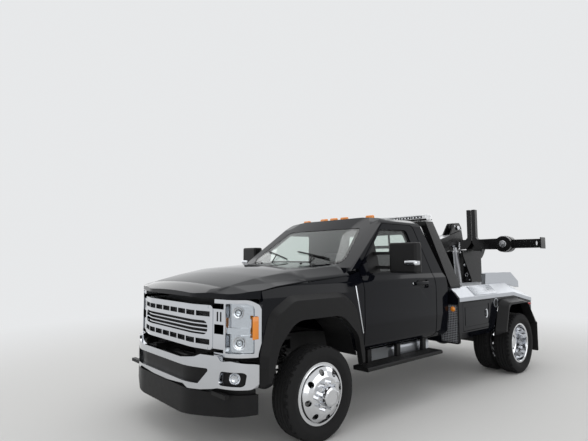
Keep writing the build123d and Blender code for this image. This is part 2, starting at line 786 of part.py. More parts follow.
def make_front_bumper():
    """The plated bumper with its stepped top, centre opening, lamp pockets and brackets to the rails."""
    radii = [0, 100, 260, 500, 500, 260, 100, 0]
    face = mirrored([
        (139, 520), (307, 532), (413, 541), (474, 513), (604, 519), (717, 537), (764, 549), (985, 549),
        (1015, 600), (1015, 735), (877, 763), (792, 752), (762, 791), (600, 793), (545, 769), (368, 746),
    ])
    face_radii = both([60, 60, 20, 20, 60, 60, 40, 20, 30, 30, 60, 14, 14, 20, 40, 60])
    with BuildPart() as bumper:
        add(plan_slab(bumper_plan(0), 505, 810, radii))
        inner = [(x * 0.972, y + 32) for x, y in bumper_plan(0)]
        add(plan_slab(inner, 495, 820, radii), mode=Mode.SUBTRACT)
        add(block((-1100, 1100), (bumper_end, 0), (490, 900)), mode=Mode.SUBTRACT)
        add(cross_slab(face, -1100, -560, face_radii), mode=Mode.INTERSECT)
        add(cross_slab(mirrored([(580, 562), (690, 688)]), -1100, -500, 14), mode=Mode.SUBTRACT)
        for side in (-1, 1):
            pocket = [(770, 572), (958, 572), (968, 680), (790, 680)]
            add(cross_slab([(side * x, z) for x, z in pocket], -1100, -500, 26), mode=Mode.SUBTRACT)
            add(block(sorted((side * rail_inner, side * rail_outer)), (-925, -860), (706, 738)))
            add(block(sorted((side * rail_inner, side * rail_outer)), (-965, -890), (706, 745)))
    return bumper.part


def make_front_valance():
    """The black lower moulding: air dam, centre intake and the backs of the lamp pockets."""
    radii = [0, 100, 260, 500, 500, 260, 100, 0]
    with BuildPart() as valance:
        add(plan_slab(bumper_plan(-10), 290, 507, radii))
        add(plan_slab([(x * 0.955, y + 50) for x, y in bumper_plan(-10)], 280, 600, radii), mode=Mode.SUBTRACT)
        add(block((-1100, 1100), (bumper_end, 0), (200, 900)), mode=Mode.SUBTRACT)
        # Swept lower edge
        cut = [(-1100, 200), (1100, 200), (1100, 356), (1000, 356), (637, 318), (362, 296),
               (-362, 296), (-637, 318), (-1000, 356), (-1100, 356)]
        add(cross_slab(cut, -1100, -500, 0), mode=Mode.SUBTRACT)
        with BuildPart(mode=Mode.PRIVATE) as backing:
            add(plan_slab([(x * 0.968, y + 36) for x, y in bumper_plan(0)], 500, 712, radii))
            add(plan_slab([(x * 0.945, y + 60) for x, y in bumper_plan(0)], 490, 720, radii), mode=Mode.SUBTRACT)
            add(block((-1100, 1100), (bumper_end, 0), (200, 900)), mode=Mode.SUBTRACT)
            for side in (-1, 1):
                add(block(sorted((side * 352, side * 438)), (-960, -700), (700, 720)), mode=Mode.SUBTRACT)
        add(backing.part)
        add(block((-900, 900), (-880, -840), (490, 520)))
    return valance.part


def make_radiator_support():
    """The upright frame behind the lamps and grille, with the radiator in it."""
    with BuildPart() as support:
        add(block((-968, 968), (-600, -566), (745, 1222)))
        for side in (-1, 1):
            add(block(sorted((side * 640, side * 920)), (-610, -550), (780, 1180)), mode=Mode.SUBTRACT)
        add(block((-560, 560), (-566, -500), (760, 1180)))
    return support.part


# Wrecker body
def make_side_boxes():
    """Steel side bodies: a tool compartment ahead of the wheels and a skirt over them."""
    with BuildPart() as boxes:
        for side in (-1, 1):
            section = [(box_inner, box_bottom), (1045, box_bottom), (box_half, 668), (box_half, box_top),
                       (box_inner, box_top)]
            inside = [(box_inner + box_wall, box_bottom + box_wall), (1035, box_bottom + box_wall),
                      (box_half - box_wall, 682), (box_half - box_wall, box_top - box_wall),
                      (box_inner + box_wall, box_top - box_wall)]
            with BuildPart(mode=Mode.PRIVATE) as box:
                add(cross_slab([(side * x, z) for x, z in section], box_front, box_rear_wall))
                add(cross_slab([(side * x, z) for x, z in inside], box_front + 30, box_rear_wall - box_wall),
                    mode=Mode.SUBTRACT)
                bulkhead = [(box_inner, 548), (1107, 548), (1107, 1085), (1040, 1164), (deck_half, 1164),
                            (deck_half, deck_top), (box_inner, deck_top)]
                add(cross_slab([(side * x, z) for x, z in bulkhead], box_front, box_front + 28,
                               [10, 30, 40, 60, 0, 0, 0]))
                skirt = [(box_rear_wall - 20, box_top), (cap_bend, box_top), (body_end, box_top - cap_tail_drop),
                         (body_end, 650), (4120, 650), (3900, 1000), (3270, 1000), (box_rear_wall - 20, 640)]
                add(side_slab(skirt, *sorted((side * (box_half - 30), side * box_half))))
                rear = [(deck_half, 835), (700, 835), (700, 650), (box_half, 650), (box_half, 928),
                        (deck_half, 928)]
                add(cross_slab([(side * x, z) for x, z in rear], body_end - 30, body_end))
                opening = sorted((side * (box_half - box_wall - 5), side * (box_half + 10)))
                add(block(opening, (tool_door_front - door_gap, tool_door_rear + door_gap),
                          (tool_door_bottom - door_gap, tool_door_top + door_gap)), mode=Mode.SUBTRACT)
            add(box.part)
        # Hole for the fuel filler's cup in the left skirt
        with BuildSketch(side_plane(box_half - 2 * box_wall)):
            with Locations(filler_centre):
                Circle(filler_cup_radius)
        extrude(amount=3 * box_wall, mode=Mode.SUBTRACT)
    return boxes.part


def make_fuel_filler():
    """The filler's bright ring and cup in the left skirt, with the neck that takes a pump's nozzle."""
    face = box_half + filler_ring_proud
    floor = box_half - filler_cup_depth
    mouth = floor + filler_neck_length / 2
    profile = [
        (face, filler_ring_radius), (face, filler_cup_radius - 4), (floor, filler_cup_radius - 10),
        (floor, filler_bore + filler_wall), (mouth, filler_bore + filler_wall), (mouth, filler_bore),
        (mouth - filler_neck_length, filler_bore), (mouth - filler_neck_length, filler_bore + filler_wall),
        (floor - filler_wall, filler_bore + filler_wall), (floor - filler_wall, filler_cup_radius),
        (box_half, filler_cup_radius), (box_half, filler_ring_radius),
    ]
    y, z = filler_centre
    with BuildPart() as filler:
        with BuildSketch(Plane((0, front_axle_y + y, z), x_dir=(1, 0, 0), z_dir=(0, -1, 0))):
            with BuildLine():
                Polyline(*profile, close=True)
            make_face()
        revolve(axis=Axis((0, front_axle_y + y, z), (1, 0, 0)))
    return filler.part


def make_top_rails():
    """Bright top cappings: an upright edge, a broad bevel and a flat ledge that falls at the tail, with
    a bulwark over the wheels."""
    low = box_top
    edge = box_half + 8
    sheet = cap_sheet
    with BuildPart() as rails:
        for side in (-1, 1):
            with BuildPart(mode=Mode.PRIVATE) as rail:
                for y, drop, ledge in (
                    (box_front + 28, 0, cap_top), (cap_bend, 0, cap_top),
                    (body_end, cap_tail_drop, cap_top - cap_tail_drop - 55),
                ):
                    section = [
                        (edge, low - drop), (edge, low + rail_edge_height - drop), (cap_shoulder, ledge),
                        (deck_half, ledge), (deck_half, ledge - sheet), (cap_shoulder - 15, ledge - sheet),
                        (edge - 38, low + 32 - drop), (edge - 38, low - drop),
                    ]
                    with BuildSketch(cross_plane(y)):
                        with BuildLine():
                            Polyline(*[(side * x, z) for x, z in section], close=True)
                        make_face()
                loft(ruled=True)
            add(rail.part)
            bulwark = [(3170, cap_top - 3), (3190, bulwark_top), (3960, bulwark_top - 8), (4200, 1215), (4210, 1125),
                       (cap_bend, cap_top - 3)]
            add(side_slab(bulwark, *sorted((side * 910, side * 965)), radius=[0, 15, 30, 20, 0, 0]))
    return rails.part


def make_deck():
    """The centre deck with upturned sides, its sills on the rails and the tail panel."""
    with BuildPart() as deck:
        wall = deck_half - 20
        add(block((-deck_half, deck_half), (box_front, body_end), (deck_top - deck_thickness, deck_top)))
        for side in (-1, 1):
            wall_outline = [(box_front + 28, deck_top - 10), (body_end, deck_top - 10), (body_end, 1005),
                            (cap_bend, cap_top - cap_sheet), (box_front + 28, cap_top - cap_sheet)]
            add(side_slab(wall_outline, *sorted((side * wall, side * deck_half))))
            add(block(sorted((side * 350, side * 440)), (box_front + 40, body_end - 60),
                      (frame_top_rear, deck_top - 20)))
        add(block((-deck_half, deck_half), (box_front, box_front + 28), (deck_top - 10, 1164)))
        add(block((-deck_half, deck_half), (body_end - 30, body_end), (frame_top_rear + 5, deck_top)))
        # Cross bearers under the sides: y stations
        for y in (2300, 3050, 4180):
            add(block((-deck_half, deck_half), (y, y + 40), (900, deck_top - 10)))
    return deck.part


def make_mud_flaps():
    """Rubber flaps behind the dual wheels."""
    with BuildPart() as flaps:
        for side in (-1, 1):
            flap = [(720, 225), (1188, 225), (1188, 636), (1060, 644), (1060, 700), (720, 700)]
            add(cross_slab([(side * x, z) for x, z in flap], body_end - 42, body_end - 30, [12, 12, 12, 0, 0, 0]))
    return flaps.part


def make_tail_lamps():
    """Rear lamp clusters and the red markers at the tail corners."""
    with BuildPart() as lamps:
        for side in (-1, 1):
            add(cross_slab([(side * x, z) for x, z in ((820, 760), (1060, 760), (1060, 860), (820, 860))],
                           body_end, body_end + 24, 16))
            add(side_slab([(4215, 880), (4262, 880), (4262, 906), (4215, 906)],
                          *sorted((side * box_half, side * (box_half + 14))), radius=6))
    return lamps.part


def make_pylon():
    """The cab guard: two leaning tapered legs, a head beam for the lights and window bars."""
    foot_z, head_z = 1164, 2020
    # Leg sections: x low, x high, y front, y rear, z
    foot = (925, 1000, 2236, 2475, cap_top)
    head = (640, 735, 2135, 2300, head_z)
    with BuildPart() as pylon:
        for side in (-1, 1):
            with BuildPart(mode=Mode.PRIVATE) as leg:
                for x_low, x_high, y_front, y_rear, z in (foot, head):
                    with BuildSketch(Plane.XY.offset(z)):
                        with Locations((side * (x_low + x_high) / 2, front_axle_y + (y_front + y_rear) / 2)):
                            Rectangle(x_high - x_low, y_rear - y_front)
                loft(ruled=True)
            add(leg.part)
            add(block(sorted((side * 905, side * 1002)), (2233, 2480), (cap_top, cap_top + 14)))
        add(block((-735, 735), (2135, 2300), (1962, head_z)))
        for z, share in ((1420, 0.3), (1690, 0.62)):
            reach = foot[0] + (head[0] - foot[0]) * share + 20
            y = foot[2] + (head[2] - foot[2]) * share + 40
            add(block((-reach, reach), (y, y + 40), (z, z + 40)))
        for x in (-420, -140, 140, 420):
            add(rod((x, 2216, 1430), (x, 2165, 1980), 14))
    return pylon.part


def make_light_bar():
    """The warning light bar, low and wide, on two feet."""
    with BuildPart() as bar:
        add(plan_slab([(-745, 2150), (745, 2150), (745, 2290), (-745, 2290)], 2038, 2112, [50, 50, 50, 50]))
        fillet(bar.edges().group_by(Axis.Z)[-1], 18)
        for side in (-1, 1):
            add(block(sorted((side * 520, side * 600)), (2180, 2260), (2020, 2040)))
    return bar.part


def make_mast():
    """The A-frame that carries the boom's heel: two cheeks, a tie and the heel pin's bosses."""
    y, z = boom_heel
    cheek_in, cheek_out = boom_half_width + 8, boom_half_width + 28
    outline = [(2600, deck_top), (3150, deck_top), (y + 60, z + 30), (y + 30, z + 62), (y - 30, z + 62),
               (y - 60, z + 30)]
    with BuildPart() as mast:
        for side in (-1, 1):
            add(side_slab(outline, *sorted((side * cheek_in, side * cheek_out)), radius=[0, 0, 30, 30, 30, 30]))
            add(block(sorted((side * (cheek_in - 2), side * 190)), (2580, 3170), (deck_top, deck_top + 16)))
        add(block((-cheek_in - 2, cheek_in + 2), (2690, 2720), (deck_top + 40, 1400)))
        with BuildSketch(side_plane(-200)):
            with Locations(boom_heel):
                Circle(30 + running_clearance)
        extrude(amount=400, mode=Mode.SUBTRACT)
    return mast.part


def make_winch():
    """The winch: a wound drum between flanges, its gear case and motor, on a bed plate."""
    y, z = 3330, 1140
    with BuildPart() as winch:
        add(rod((-150, y, z), (150, y, z), 72))
        for x in (-165, 150):
            add(rod((x, y, z), (x + 15, y, z), 112))
        add(rod((165, y, z), (290, y, z), 90))
        add(rod((-300, y, z), (-165, y, z), 60))
        add(block((-320, 310), (y - 100, y + 100), (deck_top, deck_top + 26)))
        for x in ((200, 260), (-270, -210)):
            add(block(x, (y - 60, y + 60), (deck_top + 20, z)))
    return winch.part


def boom_plane(x=0):
    """The boom's own side plane: local x runs up the boom from its heel pin."""
    c, s = cos(radians(boom_slope)), sin(radians(boom_slope))
    return Plane((x, front_axle_y + boom_heel[0], boom_heel[1]), x_dir=(0, c, s), z_dir=(1, 0, 0))


def boom_point(along, above):
    """A point on the boom, as (y behind the axle, z)."""
    c, s = cos(radians(boom_slope)), sin(radians(boom_slope))
    return (boom_heel[0] + along * c - above * s, boom_heel[1] + along * s + above * c)


boom_pin = boom_point(boom_lug_at, -boom_half_height - boom_lug_drop)
cylinder_vector = (boom_pin[0] - cylinder_base[0], boom_pin[1] - cylinder_base[1])
cylinder_length = hypot(*cylinder_vector)
cylinder_tilt = degrees(atan2(-cylinder_vector[0], cylinder_vector[1]))


def make_boom():
    """The recovery boom: a tapered box with a doubled head that carries the rope sheave."""
    h = boom_half_height
    with BuildPart() as boom:
        body = [(-70, -40), (0, -h), (boom_length, -h), (boom_length, h), (0, h), (-70, 40)]
        add(drawn(boom_plane(-boom_half_width), body, 2 * boom_half_width, [40, 20, 10, 10, 20, 40]))
        wall = boom_wall
        bore = [(60, wall - h), (boom_length - 100, wall - h), (boom_length - 100, h - wall), (60, h - wall)]
        add(drawn(boom_plane(-boom_half_width + wall), bore, 2 * (boom_half_width - wall)), mode=Mode.SUBTRACT)
        # Heel pin
        with BuildSketch(boom_plane(-boom_half_width - 28)):
            Circle(30)
        extrude(amount=2 * boom_half_width + 56)
        # Head: two cheeks with the sheave between them
        cheek = [(boom_length - 320, h), (boom_length - 120, h + 150), (boom_length + 10, h + 130),
                 (boom_length + 60, h + 30), (boom_length, -h), (boom_length - 250, -h)]
        for x in (-72, 52):
            add(drawn(boom_plane(x), cheek, 20, [20, 60, 50, 40, 10, 0]))
        sheave = (boom_length - 70, h + 60)
        with BuildSketch(boom_plane(-46)):
            with Locations(sheave):
                Circle(85)
        extrude(amount=92)
        with BuildSketch(boom_plane(-12)):
            with Locations(sheave):
                Circle(92)
                Circle(72, mode=Mode.SUBTRACT)
        extrude(amount=24, mode=Mode.SUBTRACT)
        with BuildSketch(boom_plane(-84)):
            with Locations(sheave):
                Circle(20)
        extrude(amount=168)
        # Lug for the cylinder, its stub bosses stopping clear of the rod's eye
        lug = [(boom_lug_at - 60, -h), (boom_lug_at + 60, -h), (boom_lug_at + 32, -h - boom_lug_drop - 28),
               (boom_lug_at - 32, -h - boom_lug_drop - 28)]
        for x in (-eye_half - 26, eye_half + 8):
            add(drawn(boom_plane(x), lug, 18, [0, 0, 24, 24]))
    return boom.part


def cylinder_plane():
    """Cross plane at the cylinder's foot pin whose normal runs up the cylinder."""
    y, z = cylinder_vector
    return Plane((0, front_axle_y + cylinder_base[0], cylinder_base[1]), x_dir=(1, 0, 0),
                 z_dir=(0, y / cylinder_length, z / cylinder_length))


def make_boom_cylinder():
    """The lift cylinder's barrel with its foot eye."""
    foot = cylinder_plane()
    with BuildPart() as barrel:
        with BuildSketch(foot.offset(46)):
            Circle(cylinder_radius)
        extrude(amount=cylinder_length - 136)
        with BuildSketch(foot):
            Circle(eye_half - 1)
        extrude(amount=50)
        with BuildSketch(side_plane(-eye_half)):
            with Locations(cylinder_base):
                Circle(36)
        extrude(amount=2 * eye_half)
        with BuildSketch(side_plane(-50)):
            with Locations(cylinder_base):
                Circle(16 + running_clearance)
        extrude(amount=100, mode=Mode.SUBTRACT)
        with BuildSketch(foot.offset(70)):
            Circle(rod_radius + 0.5)
        extrude(amount=cylinder_length, mode=Mode.SUBTRACT)
        for at in (110, cylinder_length - 150):
            with BuildSketch(foot.offset(at)):
                with Locations((0, cylinder_radius + 4)):
                    Rectangle(34, 40)
            extrude(amount=34)
        with BuildSketch(foot.offset(70)):
            Circle(rod_radius + 0.5)
        extrude(amount=cylinder_length, mode=Mode.SUBTRACT)
    return barrel.part


def make_boom_rod():
    """The plated rod, whose eye ends on the boom's lug axis."""
    foot = cylinder_plane()
    with BuildPart() as ram:
        with BuildSketch(foot.offset(80)):
            Circle(rod_radius)
        extrude(amount=cylinder_length - 100)
        with BuildSketch(side_plane(-eye_half)):
            with Locations(boom_pin):
                Circle(30)
        extrude(amount=2 * eye_half)
        with BuildSketch(side_plane(-eye_half - 5)):
            with Locations(boom_pin):
                Circle(14)
        extrude(amount=2 * eye_half + 10, mode=Mode.SUBTRACT)
    return ram.part


def make_cylinder_foot():
    """The clevis on the deck that carries the cylinder's foot pin."""
    y, z = cylinder_base
    with BuildPart() as foot:
        add(block((-70, 70), (y - 60, y + 30), (deck_top, deck_top + 10)))
        for x in (-eye_half - 24, eye_half + 6):
            add(block((x, x + 18), (y - 45, y + 30), (deck_top, z + 30), 0))
        with BuildSketch(side_plane(-eye_half - 24)):
            with Locations(cylinder_base):
                Circle(16)
        extrude(amount=2 * eye_half + 48)
    return foot.part


# Wheel lift
def make_tower():
    """The rear tower: two side plates and a front plate, with gussets that lean forward under the boom."""
    outline = [(tower_front, 500), (4560, 500), (tower_rear, 560), (tower_rear, tower_top), (tower_front, tower_top),
               (4290, 1664), (4290, 1600), (tower_front - 8, 1250), (tower_front - 8, deck_top)]
    with BuildPart() as tower:
        for side in (-1, 1):
            plate = sorted((side * (tower_half - tower_plate), side * tower_half))
            add(side_slab([(tower_front, 500), (4560, 480), (tower_rear, 560), (tower_rear, tower_top),
                           (tower_front, tower_top)], *plate, radius=[20, 60, 60, 20, 0]))
            gusset = [(tower_front + 10, 1200), (tower_front + 10, tower_top), (4090, tower_top - 20), (4090, 1600)]
            add(side_slab(gusset, *plate, radius=[0, 0, 20, 20]))
            # Hollow boss round the lift pin
            add(rod((side * tower_half, *lift_pivot), (side * (tower_half + 14), *lift_pivot), 58))
            add(block(sorted((side * (tower_half - 5), side * rail_inner)), (tower_front + 5, tower_front + 60),
                      (660, 810)))
        add(block((-tower_half + 5, tower_half - 5), (tower_front, tower_front + 20), (520, tower_top)))
        add(block((-tower_half - 14, tower_half + 14), (tower_front - 4, tower_front + 60), (tower_top, tower_top + 14)))
        add(block((-rail_outer, rail_outer), (body_end + 5, tower_front + 5), (frame_top_rear, frame_top_rear + 60)))
        with BuildSketch(side_plane(-300)):
            with Locations(lift_pivot):
                Circle(30 + running_clearance)
        extrude(amount=600, mode=Mode.SUBTRACT)
    return tower.part


def make_stinger_outer():
    """The lift boom's outer tube with its cross pin at the foot."""
    half_x, half_y = stinger_half
    with BuildPart() as outer:
        add(block((-half_x, half_x), (stinger_y - half_y, stinger_y + half_y), (500, stinger_top - 50)))
        bore_x, bore_y = half_x - stinger_wall, half_y - stinger_wall
        add(block((-bore_x, bore_x), (stinger_y - bore_y, stinger_y + bore_y), (700, stinger_top)),
            mode=Mode.SUBTRACT)
        chamfer(outer.edges().filter_by(Axis.X).group_by(Axis.Z)[0], 60)
        add(rod((-tower_half - 14, *lift_pivot), (tower_half + 14, *lift_pivot), 30))
        add(rod((-half_x - 30, *lift_pivot), (half_x + 30, *lift_pivot), 52))
        # Collar at the mouth
        add(block((-half_x - 12, half_x + 12), (stinger_y - half_y - 12, stinger_y + half_y - 45),
                  (stinger_top - 120, stinger_top - 60)))
        add(block((-bore_x, bore_x), (stinger_y - bore_y, stinger_y + bore_y), (700, stinger_top)),
            mode=Mode.SUBTRACT)
    return outer.part


def make_stinger_inner():
    """The sliding inner tube and its head, whose pin carries the crossbar."""
    half_x = stinger_half[0] - stinger_wall - stinger_gap
    half_y = stinger_half[1] - stinger_wall - stinger_gap
    with BuildPart() as inner:
        add(block((-half_x, half_x), (stinger_y - half_y, stinger_y + half_y), (760, stinger_top - 35)))
        add(block((-half_x + 12, half_x - 12), (stinger_y - half_y + 12, stinger_y + half_y - 12), (740, 1500)),
            mode=Mode.SUBTRACT)
        add(block((-half_x, half_x), (stinger_y - half_y, 4700), (stinger_top - 40, swivel_z + 38)))
        add(rod((0, 4690, swivel_z), (0, crossbar_front - 5, swivel_z), 60))
        add(rod((0, 4690, swivel_z), (0, crossbar_front + crossbar_depth, swivel_z), 35))
    return inner.part


def make_crossbar():
    """The crossbar: a box tube with end lips, a tongue for the swivel pin and bearing plates for the claws."""
    back = crossbar_front + crossbar_depth
    low, high = crossbar_z - crossbar_half_height, crossbar_z + crossbar_half_height
    with BuildPart() as bar:
        add(block((-crossbar_half, crossbar_half), (crossbar_front, back), (low, high)))
        for side in (-1, 1):
            inner_end, outer_end = side * 700, side * (crossbar_half - 14)
            add(block(sorted((inner_end, outer_end)), (crossbar_front + 10, back - 10), (low + 10, high - 10)),
                mode=Mode.SUBTRACT)
            lip = sorted((side * (crossbar_half - 14), side * crossbar_half))
            add(block(lip, (crossbar_front - 60, back), (low - 14, high + 22)))
            add(rod((side * claw_hub_x, crossbar_front, crossbar_z), (side * claw_hub_x, back, crossbar_z),
                    claw_hub_radius + 6))
            add(rod((side * claw_hub_x, claw_front - 14, crossbar_z), (side * claw_hub_x, back, crossbar_z),
                    claw_pin_radius))
        tongue = mirrored([(70, swivel_z - 70), (110, swivel_z), (150, low + 5)])
        add(cross_slab(tongue, crossbar_front, back, [40, 30, 0, 0, 30, 40]))
        with BuildSketch(cross_plane(back + 10)):
            with Locations((0, swivel_z)):
                Circle(35 + running_clearance)
        extrude(amount=crossbar_depth + 20, mode=Mode.SUBTRACT)
    return bar.part


def make_claw(side):
    """A wheel claw: a round hub, an arm folded in along the crossbar and a foot that stands up."""
    foot = [claw_foot_x, claw_foot_x + claw_foot_width]
    arm = [(claw_hub_x, crossbar_z - 88), (claw_hub_x, crossbar_z + 96), (200, crossbar_z + 90),
           (foot[1] + 30, crossbar_z + 90), (foot[1], crossbar_z + 125), (foot[1], claw_foot_top),
           (foot[0], claw_foot_top), (foot[0], crossbar_z + 30), (90, crossbar_z - 70), (240, crossbar_z - 84)]
    back = claw_front + claw_thickness
    with BuildPart() as claw:
        add(cross_slab([(side * x, z) for x, z in arm], claw_front, back, [0, 0, 60, 20, 20, 8, 8, 30, 20, 60]))
        add(rod((side * claw_hub_x, claw_front - 8, crossbar_z), (side * claw_hub_x, back, crossbar_z),
                claw_hub_radius))
        with BuildSketch(cross_plane(back + 10)):
            with Locations((side * claw_hub_x, crossbar_z)):
                Circle(claw_pin_radius + running_clearance)
        extrude(amount=claw_thickness + 40, mode=Mode.SUBTRACT)
    return claw.part


def make_tool_door(side):
    """A flush compartment door hinged on its front edge, with a stiffened border."""
    y, z = (tool_door_front, tool_door_rear), (tool_door_bottom, tool_door_top)
    outer = box_half
    with BuildPart() as door:
        add(block(sorted((side * (outer - tool_door_thickness), side * outer)), y, z))
        add(block(sorted((side * (outer - 6), side * (outer + 5))), (y[0] + 40, y[1] - 40), (z[0] + 40, z[1] - 40)),
            mode=Mode.SUBTRACT)
        add(block(sorted((side * (outer - 12), side * (outer - 2))), (y[0] + 58, y[1] - 58), (z[0] + 58, z[1] - 58)))
    return door.part


# Running gear
def make_knuckle(side):
    """A steering knuckle: the block between the axle's yoke arms, its kingpin and the wheel spindle."""
    x_in, x_out = kingpin_x - 26, kingpin_x + 24
    with BuildPart() as knuckle:
        add(block(sorted((side * x_in, side * x_out)), (-55, 55), (tyre_radius - 76, tyre_radius + 76)))
        with Locations((side * kingpin_x, front_axle_y, tyre_radius)):
            Cylinder(16, 222)
        add(rod((side * x_out, 0, tyre_radius), (side * (front_track_half + 58), 0, tyre_radius), spindle_radius))
    return knuckle.part


def revolved(profile, side, centre_x, y):
    """A round piece about an axle line. Its profile is (distance outboard of centre_x, radius)."""
    with BuildPart() as solid:
        with BuildSketch(Plane((side * centre_x, front_axle_y + y, tyre_radius), x_dir=(side, 0, 0),
                               z_dir=(0, -side, 0))):
            with BuildLine():
                Polyline(*profile, close=True)
            make_face()
        axle_line = Axis((side * centre_x, front_axle_y + y, tyre_radius), (1, 0, 0))
        revolve(axis=axle_line)
    return solid.part


def make_tyres(side, centres, y):
    """Tyres at the given distances from the truck's middle."""
    half = tyre_width / 2
    profile = [
        (-half + 34, rim_radius + 0.5), (-half + 34, flange_radius + 1), (-half + 9, 285), (-half, 330),
        (-half + 3, 366), (-half + 19, 391), (-half + 50, tyre_radius), (half - 50, tyre_radius),
        (half - 19, 391), (half - 3, 366), (half, 330), (half - 9, 285), (half - 34, flange_radius + 1),
        (half - 34, rim_radius + 0.5),
    ]
    with BuildPart() as tyres:
        for centre in centres:
            add(revolved(profile, side, centre, y))
    return tyres.part


def wheel_plane(side, hub_x, y):
    """The plane through a hub's middle, facing outboard."""
    return Plane((side * hub_x, front_axle_y + y, tyre_radius), x_dir=(0, 1, 0), z_dir=(side, 0, 0))


def hand_holes(plane, low, high):
    """The ring of hand holes as round plugs between two distances along the axle."""
    with BuildPart() as plugs:
        with BuildSketch(plane.offset(low)):
            with PolarLocations(hand_hole_circle, hand_hole_count, start_angle=10):
                Circle(hand_hole_radius)
        extrude(amount=high - low)
    return plugs.part


def lug_nuts(plane, low, high):
    """The ring of hexagonal lug nuts between two distances along the axle."""
    with BuildPart() as nuts:
        with BuildSketch(plane.offset(low)):
            with PolarLocations(lug_circle, lug_count):
                RegularPolygon(17, 6)
        extrude(amount=high - low)
    return nuts.part


def make_front_wheel(side):
    """A forged wheel with its disc bulging outwards, ten lug nuts and the drive hub's nose."""
    b, f = rim_half_width, flange_radius
    profile = [
        (-b, f), (-b + 8, f), (-b + 8, rim_radius), (b - 8, rim_radius), (b - 8, f), (b, f), (b, 244),
        (b + 4, 236), (b + 20, 228), (b + 45, 196), (b + 60, 158), (b + 62, 150), (b + 62, 86), (b + 100, 82),
        (b + 126, 76), (b + 134, 60), (b + 134, 0), (62, 0), (62, spindle_radius + running_clearance),
        (-60, spindle_radius + running_clearance), (-60, 76), (-36, 76), (-36, 95), (b + 20, 98), (b + 40, 140), (b + 28, 180),
        (b + 6, 214), (b - 20, 236), (-b + 6, 236), (-b, 244),
    ]
    with BuildPart() as wheel:
        add(revolved(profile, side, front_track_half, 0))
        hub = wheel_plane(side, front_track_half, 0)
        add(hand_holes(hub, 60, 180), mode=Mode.SUBTRACT)
        add(lug_nuts(hub, b + 60, b + 96))
    return wheel.part


def make_rear_wheels(side):
    """The dual pair: two wheels back to back on one hub, the outer one deeply dished."""
    o, b, f = wheel_outset, rim_half_width, flange_radius
    outer_lip, inner_edge = o + b, o - b
    bore = rear_spindle_radius + running_clearance
    outer = [
        (outer_lip, 244), (outer_lip, f), (outer_lip - 8, f), (outer_lip - 8, rim_radius),
        (inner_edge + 8, rim_radius), (inner_edge + 8, f), (inner_edge, f), (inner_edge, 240), (20, 176), (2, 150),
    ]
    profile = outer + [(-x, r) for x, r in reversed(outer)] + [
        (-outer_lip + 6, 236), (-80, 236), (-44, 180), (-20, 146), (-20, 100), (-120, 95), (-120, bore), (60, bore),
        (60, 0), (150, 0), (150, 52), (140, 74), (100, 82), (20, 86), (20, 146), (44, 180), (80, 236),
        (outer_lip - 6, 236),
    ]
    with BuildPart() as wheels:
        add(revolved(profile, side, rear_hub_half, rear_axle))
        hub = wheel_plane(side, rear_hub_half, rear_axle)
        add(hand_holes(hub, -100, 100), mode=Mode.SUBTRACT)
        add(lug_nuts(hub, 18, 54))
    return wheels.part


# Every piece by name
pieces = {
    "chassis_frame": make_frame,
    "driveline": make_driveline,
    "front_axle": make_front_axle,
    "rear_axle": make_rear_axle,
    "springs": make_springs,
    "fuel_tank": make_fuel_tank,
    "exhaust": make_exhaust,
    "running_boards": make_running_boards,
    "cab_shell": make_cab_shell,
    "roof_lamps": make_roof_lamps,
    "cab_glass": make_cab_glass,
    "dashboard": make_dashboard,
    "seat": make_seat,
    "hood": make_hood,
    "front_fenders": make_front_fenders,
    "wheel_liners": make_wheel_liners,
    "wheel_flares": make_wheel_flares,
    "grille": make_grille,
    "headlamps": make_headlamps,
    "front_bumper": make_front_bumper,
    "front_valance": make_front_valance,
    "radiator_support": make_radiator_support,
    "side_boxes": make_side_boxes,
    "fuel_filler": make_fuel_filler,
    "top_rails": make_top_rails,
    "deck": make_deck,
    "mud_flaps": make_mud_flaps,
    "tail_lamps": make_tail_lamps,
    "pylon": make_pylon,
    "light_bar": make_light_bar,
    "boom_mast": make_mast,
    "winch": make_winch,
    "boom": make_boom,
    "boom_cylinder": make_boom_cylinder,
    "boom_rod": make_boom_rod,
    "cylinder_foot": make_cylinder_foot,
    "tower": make_tower,
    "stinger_outer": make_stinger_outer,
    "stinger_inner": make_stinger_inner,
    "crossbar": make_crossbar,
}
for side_name, side_sign in (("left", 1), ("right", -1)):
    pieces[f"{side_name}_door"] = lambda s=side_sign: make_door(s)
    pieces[f"{side_name}_door_glass"] = lambda s=side_sign: make_door_glass(s)
    pieces[f"{side_name}_mirror"] = lambda s=side_sign: make_mirror(s)
    pieces[f"{side_name}_toolbox_door"] = lambda s=side_sign: make_tool_door(s)
    pieces[f"{side_name}_claw"] = lambda s=side_sign: make_claw(s)
    pieces[f"{side_name}_knuckle"] = lambda s=side_sign: make_knuckle(s)
    pieces[f"front_{side_name}_tyre"] = lambda s=side_sign: make_tyres(s, [front_track_half], 0)
    pieces[f"front_{side_name}_wheel"] = lambda s=side_sign: make_front_wheel(s)
    duals = [rear_hub_half - wheel_outset, rear_hub_half + wheel_outset]
    pieces[f"rear_{side_name}_tyres"] = lambda s=side_sign, d=duals: make_tyres(s, d, rear_axle)
    pieces[f"rear_{side_name}_wheels"] = lambda s=side_sign: make_rear_wheels(s)

for name, make in pieces.items():
    solid = make()
    solid.label = name
    export_step(solid, f"parts/{name}.step")
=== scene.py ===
from functools import cache
from math import atan2, cos, pi, radians, sin

import bpy
from mathutils import Matrix, Quaternion, Vector


